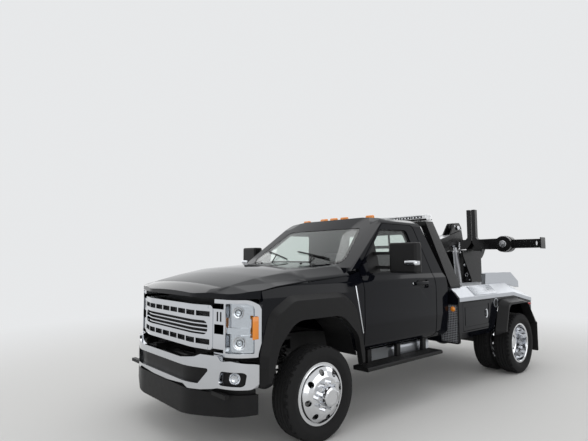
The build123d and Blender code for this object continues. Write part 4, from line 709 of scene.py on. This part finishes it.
bench = copy_of("seat")
worked(bench, "REMESH", mode="VOXEL", voxel_size=seat_voxel)
rest = [v.co.copy() for v in bench.data.vertices]
cloth = bench.modifiers.new("foam", "CLOTH")
cloth.settings.use_pressure = True
cloth.settings.uniform_pressure_force = 4
cloth.settings.effector_weights.gravity = 0
cloth.point_cache.frame_end = seat_frames
for moment in range(1, seat_frames + 1):
    bpy.context.scene.frame_set(moment)
bpy.ops.object.modifier_apply(modifier=cloth.name)
bpy.context.scene.frame_set(1)
for vertex, start in zip(bench.data.vertices, rest):
    move = vertex.co - start
    if move.length > seat_cap:
        vertex.co = start + move.normalized() * seat_cap
worked(bench, "SMOOTH", iterations=4)
for vertex in bench.data.vertices:
    if vertex.co.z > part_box("seat")[0].z + cushion_rise:
        off = min(abs(vertex.co.x - s) for s in seams)
        if off < seam_half:
            vertex.co -= vertex.normal * seam_depth * (0.5 + 0.5 * cos(pi * off / seam_half))
settle(bench, "seat_bench", seat_cover, smooth=80)
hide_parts("seat")
for side, k in sides:
    pipe = rail([(k * seams[1], *point) for point in pipe_line], pipe_radius)
    settle(pipe, f"{side}_seat_piping", seal_rubber)
dial_face = finish_of("dial_face", (0.02, 0.02, 0.022), 0.25, tone=0.1, coat=0.5, bump=0)
dials = []
for x in (0.335, 0.465):
    dials.append(turned([(0, 0.050), (0.010, 0.050), (0.010, 0.046), (0.002, 0.044), (0.002, 0.0005)],
                        (x, -1.118, 1.372), (0, 1, 0.35), 36))
settle(joined(dials), "dash_dials", dial_face)
screen_pad = rounded_block((-0.12, -1.072, 1.235), (0.12, -1.050, 1.375), 0.006)
settle(screen_pad, "dash_screen", dial_face)

# Roof lamps and light bar
# Five amber clearance lamps are screwed to the roof's front edge; on the cab guard stands a low light
# bar of pale plastic domes, with eight light modules to each long side, on a black moulded base.
dress(amber, "roof_lamps")
bar_white = finish_of("lightbar_lens", (0.80, 0.82, 0.84), 0.14, tone=0.03, coat=0.5, bump=0)
dress(bar_white, "light_bar")
bar_low, bar_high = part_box("light_bar")
bar_floor = 2.038
module_count = 8
module_gap = 0.010
base_height = 0.014
cell_height = 0.036


def repeated(piece, moves):
    """Copies of one mesh moved by each vector of a list, all joined with it."""
    copies = [piece]
    for move in moves:
        twin = piece.copy()
        twin.data = piece.data.copy()
        bpy.context.scene.collection.objects.link(twin)
        twin.data.transform(Matrix.Translation(move))
        copies.append(twin)
    return joined(copies)


base = rounded_block((bar_low.x + 0.012, bar_low.y - 0.002, bar_floor - 0.001),
                     (bar_high.x - 0.012, bar_high.y + 0.002, bar_floor + base_height), 0.003)
settle(base, "light_bar_base", black_plastic)
module_width = (bar_high.x - bar_low.x - 0.12) / module_count
modules, cells = [], []
half = (module_width - module_gap) / 2
x = bar_low.x + 0.06 + module_width / 2
steps = [Vector((module_width * number, 0, 0)) for number in range(1, module_count)]
for face_y, out in ((bar_low.y, -1), (bar_high.y, 1)):
    module = rounded_block((x - half, face_y - 0.0022, bar_floor + 0.020),
                           (x + half, face_y + 0.0022, bar_floor + 0.052), 0.002)
    modules.append(repeated(module, steps))
    cell_disc = turned([(0, 0.012), (0.0022, 0.0115), (0.0008, 0.006), (0.0004, 0.0005)],
                       (x - half * 0.6, face_y + out * 0.002, bar_floor + cell_height), (0, out, 0), 14)
    trio = repeated(cell_disc, [Vector((half * 0.6 * n, 0, 0)) for n in (1, 2)])
    cells.append(repeated(trio, steps))
settle(joined(modules), "light_bar_modules", lamp_dark)
settle(joined(cells), "light_bar_cells", plated)

# Wrecker body
# Sides of steel sheet painted black, capped by bright aluminium with tread plate on the bevel; a
# pierced plate guards each front corner, and a paddle latch shuts each tool box door.
plate_angle = radians(45)


def tread_finish(name, colour, raised_colour, roughness, metallic, pitch, axis, **sockets):
    """Rolled tread plate: lozenges raised on a flat sheet, in rows at 45 degrees about its normal axis."""
    finish = finish_of(name, colour, roughness, metallic=metallic, tone=0.06, rough_spread=0.06, bump=0,
                       **sockets)
    tree = finish.node_tree
    shader = tree.nodes["Principled BSDF"]
    lozenge = shader_node(tree, "Math", operation="MULTIPLY")
    for number, turn in enumerate((plate_angle, -plate_angle)):
        turned_plate = shader_node(tree, "Mapping", {"Rotation": [turn * share for share in axis]})
        wave = shader_node(tree, "TexWave", {"Scale": 2 * pi / (20 * pitch * sin(plate_angle))},
                           bands_direction="X")
        feed(tree, tree.nodes["Texture Coordinate"], "Object", turned_plate, "Vector")
        feed(tree, turned_plate, "Vector", wave, "Vector")
        feed(tree, wave, "Fac", lozenge, number)
    crest = shader_node(tree, "MapRange", {"From Min": 0.35, "From Max": 0.6})
    feed(tree, lozenge, 0, crest, "Value")
    # The crests take the lighter colour: a painted highlight, and on the bright plate also the wear that
    # polishes them
    crest_highlight_and_wear = shader_node(tree, "Mix", {"A": (*colour, 1), "B": (*raised_colour, 1)}, data_type="RGBA")
    feed(tree, crest, "Result", crest_highlight_and_wear, "Factor")
    feed(tree, crest_highlight_and_wear, "Result", shader, "Base Color")
    raised = shader_node(tree, "Bump", {"Strength": 0.8, "Distance": 0.0025})
    feed(tree, crest, "Result", raised, "Height")
    feed(tree, raised, "Normal", shader, "Normal")
    return finish


bright_panel = finish_of("bright_panel", (0.50, 0.52, 0.55), 0.34, metallic=1, tone=0.05,
                         rough_spread=0.08, bump=0.05)
# The second colour of each plate is the lighter colour of its crests, a painted highlight
bright_tread = tread_finish("bright_tread", (0.42, 0.44, 0.47), (0.60, 0.62, 0.65), 0.26, 1, 0.030,
                            (0, 0, 1))
black_tread = tread_finish("black_tread", (0.006, 0.006, 0.007), (0.012, 0.012, 0.013), 0.30, 0, 0.021,
                           (0, 1, 0), Specular_IOR_Level=0.2)
dress(bright_panel, "top_rails", "fuel_tank", "fuel_filler")
# The webs of the black rock guard are shown pale grey: a painted highlight along them
web_highlight_grey = finish_of("web_highlight_grey", (0.30, 0.31, 0.33), 0.34, metallic=0.1, tone=0.15, bump=0.05)
marker_red = finish_of("marker_red", (0.5, 0.012, 0.012), 0.12, tone=0.1, coat=0.5, bump=0)
tread_from, tread_to = 0.657, 1.252
bevel_x, bevel_z = 1.0485, 1.1478
guard_low_z, guard_high_z = 0.560, 1.012
rivet_step = 0.105
latch_y, latch_z = 0.939, 0.858
face_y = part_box("side_boxes")[0].y
for side, k in sides:
    inlay = bar((k * bevel_x, tread_from, bevel_z), (k * bevel_x, tread_to, bevel_z), 0.150, 0.004, 0.0015,
                (k * -0.123, 0, 0.118))
    settle(inlay, f"{side}_tread_inlay", bright_tread)
    guard = rounded_block((k * 0.872, face_y - 0.006, guard_low_z), (k * 1.104, face_y + 0.001, guard_high_z),
                          0.002)
    settle(guard, f"{side}_rock_guard", black_tread)
    lone()
    bpy.ops.mesh.primitive_grid_add(x_subdivisions=10, y_subdivisions=21, size=1)
    webs = bpy.context.object
    guard_middle = (k * 0.988, face_y - 0.0075, (guard_low_z + guard_high_z) / 2)
    for turn in (Matrix.Diagonal((0.212, 0.430, 1, 1)), Matrix.Rotation(pi / 2, 4, "X"),
                 Matrix.Translation(guard_middle)):
        webs.data.transform(turn)
    worked(webs, "WIREFRAME", thickness=0.0085, use_even_offset=False)
    settle(webs, f"{side}_guard_webs", web_highlight_grey)
    rivet = turned([(0, 0.006), (0.0028, 0.0045), (0.0034, 0.0005)], (k * 0.884, face_y - 0.006, 0.575),
                   (0, -1, 0), 12)
    rivets = repeated(rivet, [Vector((0, 0, rivet_step * n)) for n in range(1, 5)])
    rivets = repeated(rivets, [Vector((k * 0.208, 0, 0))])
    settle(rivets, f"{side}_guard_rivets", black_plastic)
    lamp = turned([(0, 0.030), (0.006, 0.030), (0.009, 0.026), (0.014, 0.018), (0.016, 0.0005)],
                  (k * 1.037, face_y - 0.006, 0.955), (0, -1, 0), 32)
    settle(lamp, f"{side}_guard_lamp", amber)
    door = f"{side}_toolbox_door"
    dish = oval_dish((k * 1.1008, latch_y, latch_z), (k, 0, 0), 0.056, 0.038, 0.0006, (0, 0, 1))
    # The black paddle fills the front half of the bright dish, partly as painted shade inside the dish
    paddle_and_shade = rounded_block((k * 1.1005, latch_y - 0.024, latch_z - 0.040),
                           (k * 1.1075, latch_y - 0.004, latch_z + 0.040), 0.003)
    settle(dish, f"{door}_latch_dish", plated, door)
    settle(paddle_and_shade, f"{door}_latch_paddle", black_plastic, door)
    marker = rounded_block((k * 1.1000, 2.205, 0.878), (k * 1.1065, 2.285, 0.912), 0.003)
    settle(marker, f"{side}_rear_marker", marker_red)

# Fuel filler
# A bright metal ring and cup let into the left skirt and rivetted to it; a black moulded cap with a
# grip bar screws on to the neck inside.
filler_low, filler_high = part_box("fuel_filler")
filler_middle = (filler_low + filler_high) / 2
cap = turned([(0, 0.0505), (0.004, 0.0500), (0.006, 0.046), (0.004, 0.032), (0.004, 0.0005)],
             (filler_high.x - 0.012, filler_middle.y, filler_middle.z), (1, 0, 0), 40)
grip = rounded_block((filler_high.x - 0.012, filler_middle.y - 0.030, filler_middle.z - 0.007),
                     (filler_high.x + 0.001, filler_middle.y + 0.030, filler_middle.z + 0.007), 0.004)
settle(joined([cap, grip]), "filler_cap", black_plastic)

# Wheel flares, liners and steps
# Thick moulded arches screwed to the body, grained black, over moulded liners; the steps under the
# doors have four rubber grip strips each, and rubber flaps hang behind the rear wheels.
dress(black_plastic, "wheel_flares", "wheel_liners", "running_boards", "radiator_support")
dress(seal_rubber, "mud_flaps")
step_low, step_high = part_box("running_boards")
step_top = 0.5225
# Places of the front flare's screws: y, z
screw_places = ((-2.560, 0.700), (-2.505, 0.950), (-2.390, 1.130), (-1.560, 1.120), (-1.430, 0.900),
                (-1.378, 0.700))
for side, k in sides:
    strips = [bar((k * x, step_low.y + 0.07, step_top), (k * x, step_high.y - 0.07, step_top), 0.014, 0.004,
                  0.001, (1, 0, 0)) for x in (0.891, 0.926, 0.961, 0.996)]
    settle(joined(strips), f"{side}_step_grips", seal_rubber)
    screws = []
    for y, z in screw_places:
        hit, place, out, _ = nodes["wheel_flares"].ray_cast(Vector((k * 2, y, z)), Vector((-k, 0, 0)))
        if hit:
            screws.append(turned([(0, 0.007), (0.002, 0.0062), (0.0032, 0.004), (0.0024, 0.0005)],
                                 place, out, 14))
    settle(joined(screws), f"{side}_flare_screws", black_plastic)

# Recovery gear
# Mast, boom, tower and crossbar are welded from steel plate and painted gloss black; the lift
# cylinder is silver with a plated rod, and bolts and pin heads are zinc plated.
recovery_black = finish_of("recovery_black", (0.007, 0.007, 0.0075), 0.22, coat=0.1, tone=0.2, bump=0.05,
                           Specular_IOR_Level=0.2)
dress(recovery_black, "deck", "pylon", "boom_mast", "winch", "boom", "cylinder_foot", "tower",
      "stinger_outer", "stinger_inner", "crossbar", "left_claw", "right_claw")
silver_paint = finish_of("silver_paint", (0.52, 0.53, 0.55), 0.3, metallic=0.6, tone=0.05)
dress(silver_paint, "boom_cylinder")
dress(plated, "boom_rod")
zinc = finish_of("zinc_plate", (0.55, 0.56, 0.58), 0.26, metallic=1, tone=0.08, bump=0.03)
boom_slope = radians(14)
boom_heel_y, boom_heel_z = 0.890, 1.590


def on_boom(x, along, above):
    """A point given in the boom's own frame, along it from its heel pin and above its middle line."""
    return Vector((x, boom_heel_y + along * cos(boom_slope) - above * sin(boom_slope),
                   boom_heel_z + along * sin(boom_slope) + above * cos(boom_slope)))


def hex_bolt(place, heading, across, height=0.010):
    """A hexagon head with a washer under it."""
    head = turned([(0.003, 0.0005), (0.003, across / 2), (height, across / 2),
                   (height + 0.001, across * 0.42), (height + 0.001, 0.0005)], place, heading, 6)
    washer = turned([(0, 0.0005), (0, across * 0.68), (0.003, across * 0.68), (0.003, 0.0005)],
                    place, heading, 20)
    return joined([head, washer])


# A pin head and two bolts on each outer face of the boom's head
boom_pins = []
for k in (1, -1):
    boom_pins.append(turned([(0, 0.0005), (0, 0.034), (0.004, 0.036), (0.010, 0.034), (0.012, 0.010),
                             (0.012, 0.0005)], on_boom(k * 0.0835, 1.330, 0.145), (k, 0, 0), 28))
    boom_pins.append(hex_bolt(on_boom(k * 0.072, 1.250, 0.190), (k, 0, 0), 0.024))
    boom_pins.append(hex_bolt(on_boom(k * 0.072, 1.405, 0.100), (k, 0, 0), 0.024))
settle(joined(boom_pins), "boom_head_pins", zinc, "boom")
# A silver strip along the black boom's top makes the top lighter than its sides: a painted highlight of the
# light on it
highlight_top_plate = bar(on_boom(0, 0.10, 0.0852), on_boom(0, 1.04, 0.0852), 0.180, 0.004, 0.0015)
settle(highlight_top_plate, "boom_top_plate", silver_paint, "boom")


def ring(major, minor, steps, minor_steps=10, **where):
    """A closed ring of round bar."""
    lone()
    bpy.ops.mesh.primitive_torus_add(major_radius=major, minor_radius=minor, major_segments=steps,
                                     minor_segments=minor_steps, **where)
    return bpy.context.object


# Hook: a forged eye hook on four links of chain under the boom's end
links = []
chain_top = on_boom(0.0, 1.45, -0.030)
link_step = 0.035
throat_radius = 0.036
for number in range(4):
    link = ring(0.017, 0.0048, 20, 8)
    link_middle = chain_top + Vector((0, 0.016, -0.014 - link_step * number))
    for turn in (Matrix.Diagonal((0.75, 1.35, 1, 1)), Matrix.Rotation(pi / 2, 4, "X"),
                 Matrix.Rotation(pi / 2 * (number % 2), 4, "Z"), Matrix.Translation(link_middle)):
        link.data.transform(turn)
    links.append(link)
hook_top = chain_top + Vector((0, 0.016, -0.160))
eye = ring(0.017, 0.007, 24, location=hook_top, rotation=(0, pi / 2, 0))
shank = turned([(0, 0.0005), (0.002, 0.010), (0.030, 0.010), (0.036, 0.0005)],
               hook_top + Vector((0, 0, -0.016)), (0, 0, -1), 20)
throat = rail([hook_top + Vector((0, throat_radius * sin(a), -0.080 + throat_radius * cos(a)))
               for a in [pi * (-0.02 + n / 11) for n in range(15)]], 0.0095, resolution=4)
settle(joined([*links, eye, shank, throat]), "boom_hook", zinc, "boom")

# Winch rope
# One layer of 10 mm steel wire rope on the drum, its turns side by side between the flanges; each
# turn is a closed ring here.
rope_steel = finish_of("rope_steel", (0.34, 0.34, 0.35), 0.45, metallic=1, tone=0.2, bump=0.4, bump_scale=700)
drum_half = 0.115
rope_radius = 0.005
turns = int(2 * drum_half / (2 * rope_radius))
drum_y, drum_z = 1.370, 1.130
hit, place, _, _ = nodes["winch"].ray_cast(Vector((0, drum_y, 2)), Vector((0, 0, -1)))
drum_radius = place.z - drum_z if hit else 0.08
rope_turn = [(-rope_radius + rope_radius * 2 * n / 6, drum_radius + rope_radius * sin(pi * n / 6))
             for n in range(7)]
section = []
for number in range(turns):
    shift = -drum_half + rope_radius * (2 * number + 1)
    section += [(along + shift, r) for along, r in rope_turn[1:]]
coil = turned(section, (0, drum_y, drum_z), (1, 0, 0), 40)
settle(coil, "winch_rope", rope_steel)

# Tower and crossbar fittings
# Zinc plated bolts and a ring on the tower's front face beside a blank silver plate; the crossbar has
# a pale reflector near each end and a zinc cap over each claw's pin.
claw_x, crossbar_z = 0.54, 1.790
face = nodes["tower"].ray_cast(Vector((0.08, 0.5, 1.45)), Vector((0, 1, 0)))[1]
plate_bolts = [hex_bolt(Vector((x, face.y, z)), (0, -1, 0), 0.020, 0.008)
               for x in (-0.13, 0.13) for z in (1.20, 1.36, 1.52)]
settle(joined(plate_bolts), "tower_bolts", zinc)
blank = rounded_block((0.035, face.y - 0.002, 1.425), (0.135, face.y + 0.001, 1.462), 0.0008)
settle(blank, "tower_blank_plate", silver_paint)
tower_ring = ring(0.026, 0.006, 32, location=(0.085, face.y - 0.006, 1.285), rotation=(pi / 2, 0, 0))
settle(tower_ring, "tower_ring", zinc)
bar_face = nodes["crossbar"].ray_cast(Vector((1.0, 2.0, crossbar_z)), Vector((0, 1, 0)))[1]
for side, k in sides:
    reflector = oval_dish((k * 1.035, bar_face.y - 0.0016, crossbar_z), (0, -1, 0), 0.013, 0.034, 0.0004,
                          (1, 0, 0))
    settle(reflector, f"{side}_crossbar_reflector", bar_white, "crossbar")
    cap = turned([(0, 0.056), (0.004, 0.058), (0.008, 0.054), (0.009, 0.020), (0.012, 0.018),
                  (0.013, 0.0005)],
                 (k * claw_x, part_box("crossbar")[0].y, crossbar_z), (0, -1, 0), 36)
    settle(cap, f"{side}_claw_pin_cap", zinc, "crossbar")

# Lamps at the tail
# Red lenses moulded in acrylic plastic and screwed to the tail, shown as one solid piece each without
# the bulbs behind them.
tail_lens = finish_of("tail_lens", (0.42, 0.008, 0.008), 0.08, tone=0.1, coat=0.5, bump=0)
dress(tail_lens, "tail_lamps")

# Running gear
# Cast and forged axles in bare grey iron bolted under a painted ladder frame: coil springs round
# dampers in front, clamped packs of four leaves at the back; the silencer is bare steel.
cast_iron = finish_of("cast_iron", (0.05, 0.05, 0.052), 0.6, metallic=0.4, tone=0.2, bump=0.2, bump_scale=300)
dress(cast_iron, "driveline", "front_axle", "rear_axle", "left_knuckle", "right_knuckle")
chassis_black = finish_of("chassis_black", (0.012, 0.012, 0.0125), 0.42, tone=0.2, bump=0.06,
                          Specular_IOR_Level=0.25)
dress(chassis_black, "chassis_frame", "springs")
bare_steel = finish_of("bare_steel", (0.40, 0.39, 0.38), 0.45, metallic=1, tone=0.15, bump=0.08)
dress(bare_steel, "exhaust")
coil_low, coil_high = 0.462, 0.790
coil_radius = 0.048
coil_wire = 0.0095
coil_turns = 6
climb = (coil_high - coil_low - 2 * coil_wire) / (2 * pi * coil_turns)
coil_x, front_y = 0.495, -1.960
leaf_x, leaf_z = 0.395, 0.530
leaf_step = 0.0125
rear_axle_y, rear_axle_z = 1.730, 0.400
springs = []
for side, k in sides:
    helix = [Vector((k * coil_x + coil_radius * cos(a), front_y + coil_radius * sin(a),
                     coil_low + coil_wire + climb * a))
             for a in [2 * pi * n / 24 for n in range(24 * coil_turns + 1)]]
    springs.append(rail(helix, coil_wire, resolution=2))
    springs.append(turned([(0, 0.0005), (0, 0.018), (0.006, 0.027), (0.170, 0.027), (0.172, 0.012),
                           (0.328, 0.012), (0.328, 0.0005)], (k * coil_x, front_y, coil_low), (0, 0, 1), 24))
    for leaf, reach in enumerate((0.700, 0.560, 0.420, 0.280)):
        drop = leaf_step * leaf
        lone()
        bpy.ops.mesh.primitive_grid_add(x_subdivisions=1, y_subdivisions=12, size=1)
        strip = bpy.context.object
        for vertex in strip.data.vertices:
            x, y = k * leaf_x + vertex.co.x * 0.074, 2 * reach * vertex.co.y
            vertex.co = (x, rear_axle_y + y, leaf_z - drop + 0.048 * (y / 0.7) ** 2)
        springs.append(worked(strip, "SOLIDIFY", thickness=0.011))
    springs.append(rounded_block((k * 0.352, rear_axle_y - 0.085, 0.480),
                                 (k * 0.438, rear_axle_y + 0.085, 0.494), 0.004))
    for y in (-0.060, 0.060):
        for x in (0.356, 0.434):
            springs.append(turned([(0, 0.0005), (0, 0.007), (0.085, 0.007), (0.085, 0.0005)],
                                  (k * x, rear_axle_y + y, 0.470), (0, 0, 1), 14))
piece = settle(joined(springs), "spring_packs", chassis_black)
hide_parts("springs")
# Brake discs inside the rear wheels
for side, k in sides:
    disc = turned([(-0.016, 0.080), (-0.016, 0.168), (-0.012, 0.172), (-0.004, 0.172), (-0.004, 0.166),
                   (0.004, 0.166), (0.004, 0.172), (0.012, 0.172), (0.016, 0.168), (0.016, 0.080),
                   (-0.016, 0.080)], (k * 0.940, rear_axle_y, rear_axle_z), (1, 0, 0), 48)
    settle(disc, f"rear_{side}_brake_disc", bare_steel, f"rear_{side}_wheels")

# Panels as one sheet
# Cab, hood, fenders and doors are each pressed from sheet steel and painted as one surface, so each
# is shown smooth from a merged copy. It comes last, because the trim above is set by rays on the CAD.


def one_skin(node, name, finish, body):
    """A CAD piece's own mesh, its corners merged and shaded as the single pressed sheet that it is."""
    piece = skin_of(node, name, lambda centre, normal: True, 0)
    settle(piece, name, finish, body, 22)
    worked(piece, "WEIGHTED_NORMAL", keep_sharp=True)
    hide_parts(node)


for panel, body in (("cab_shell", "truck"), ("hood", "hood"), ("front_fenders", "truck"),
                    ("left_door", "left_door"), ("right_door", "right_door")):
    one_skin(panel, f"{panel}_skin", body_black, body)
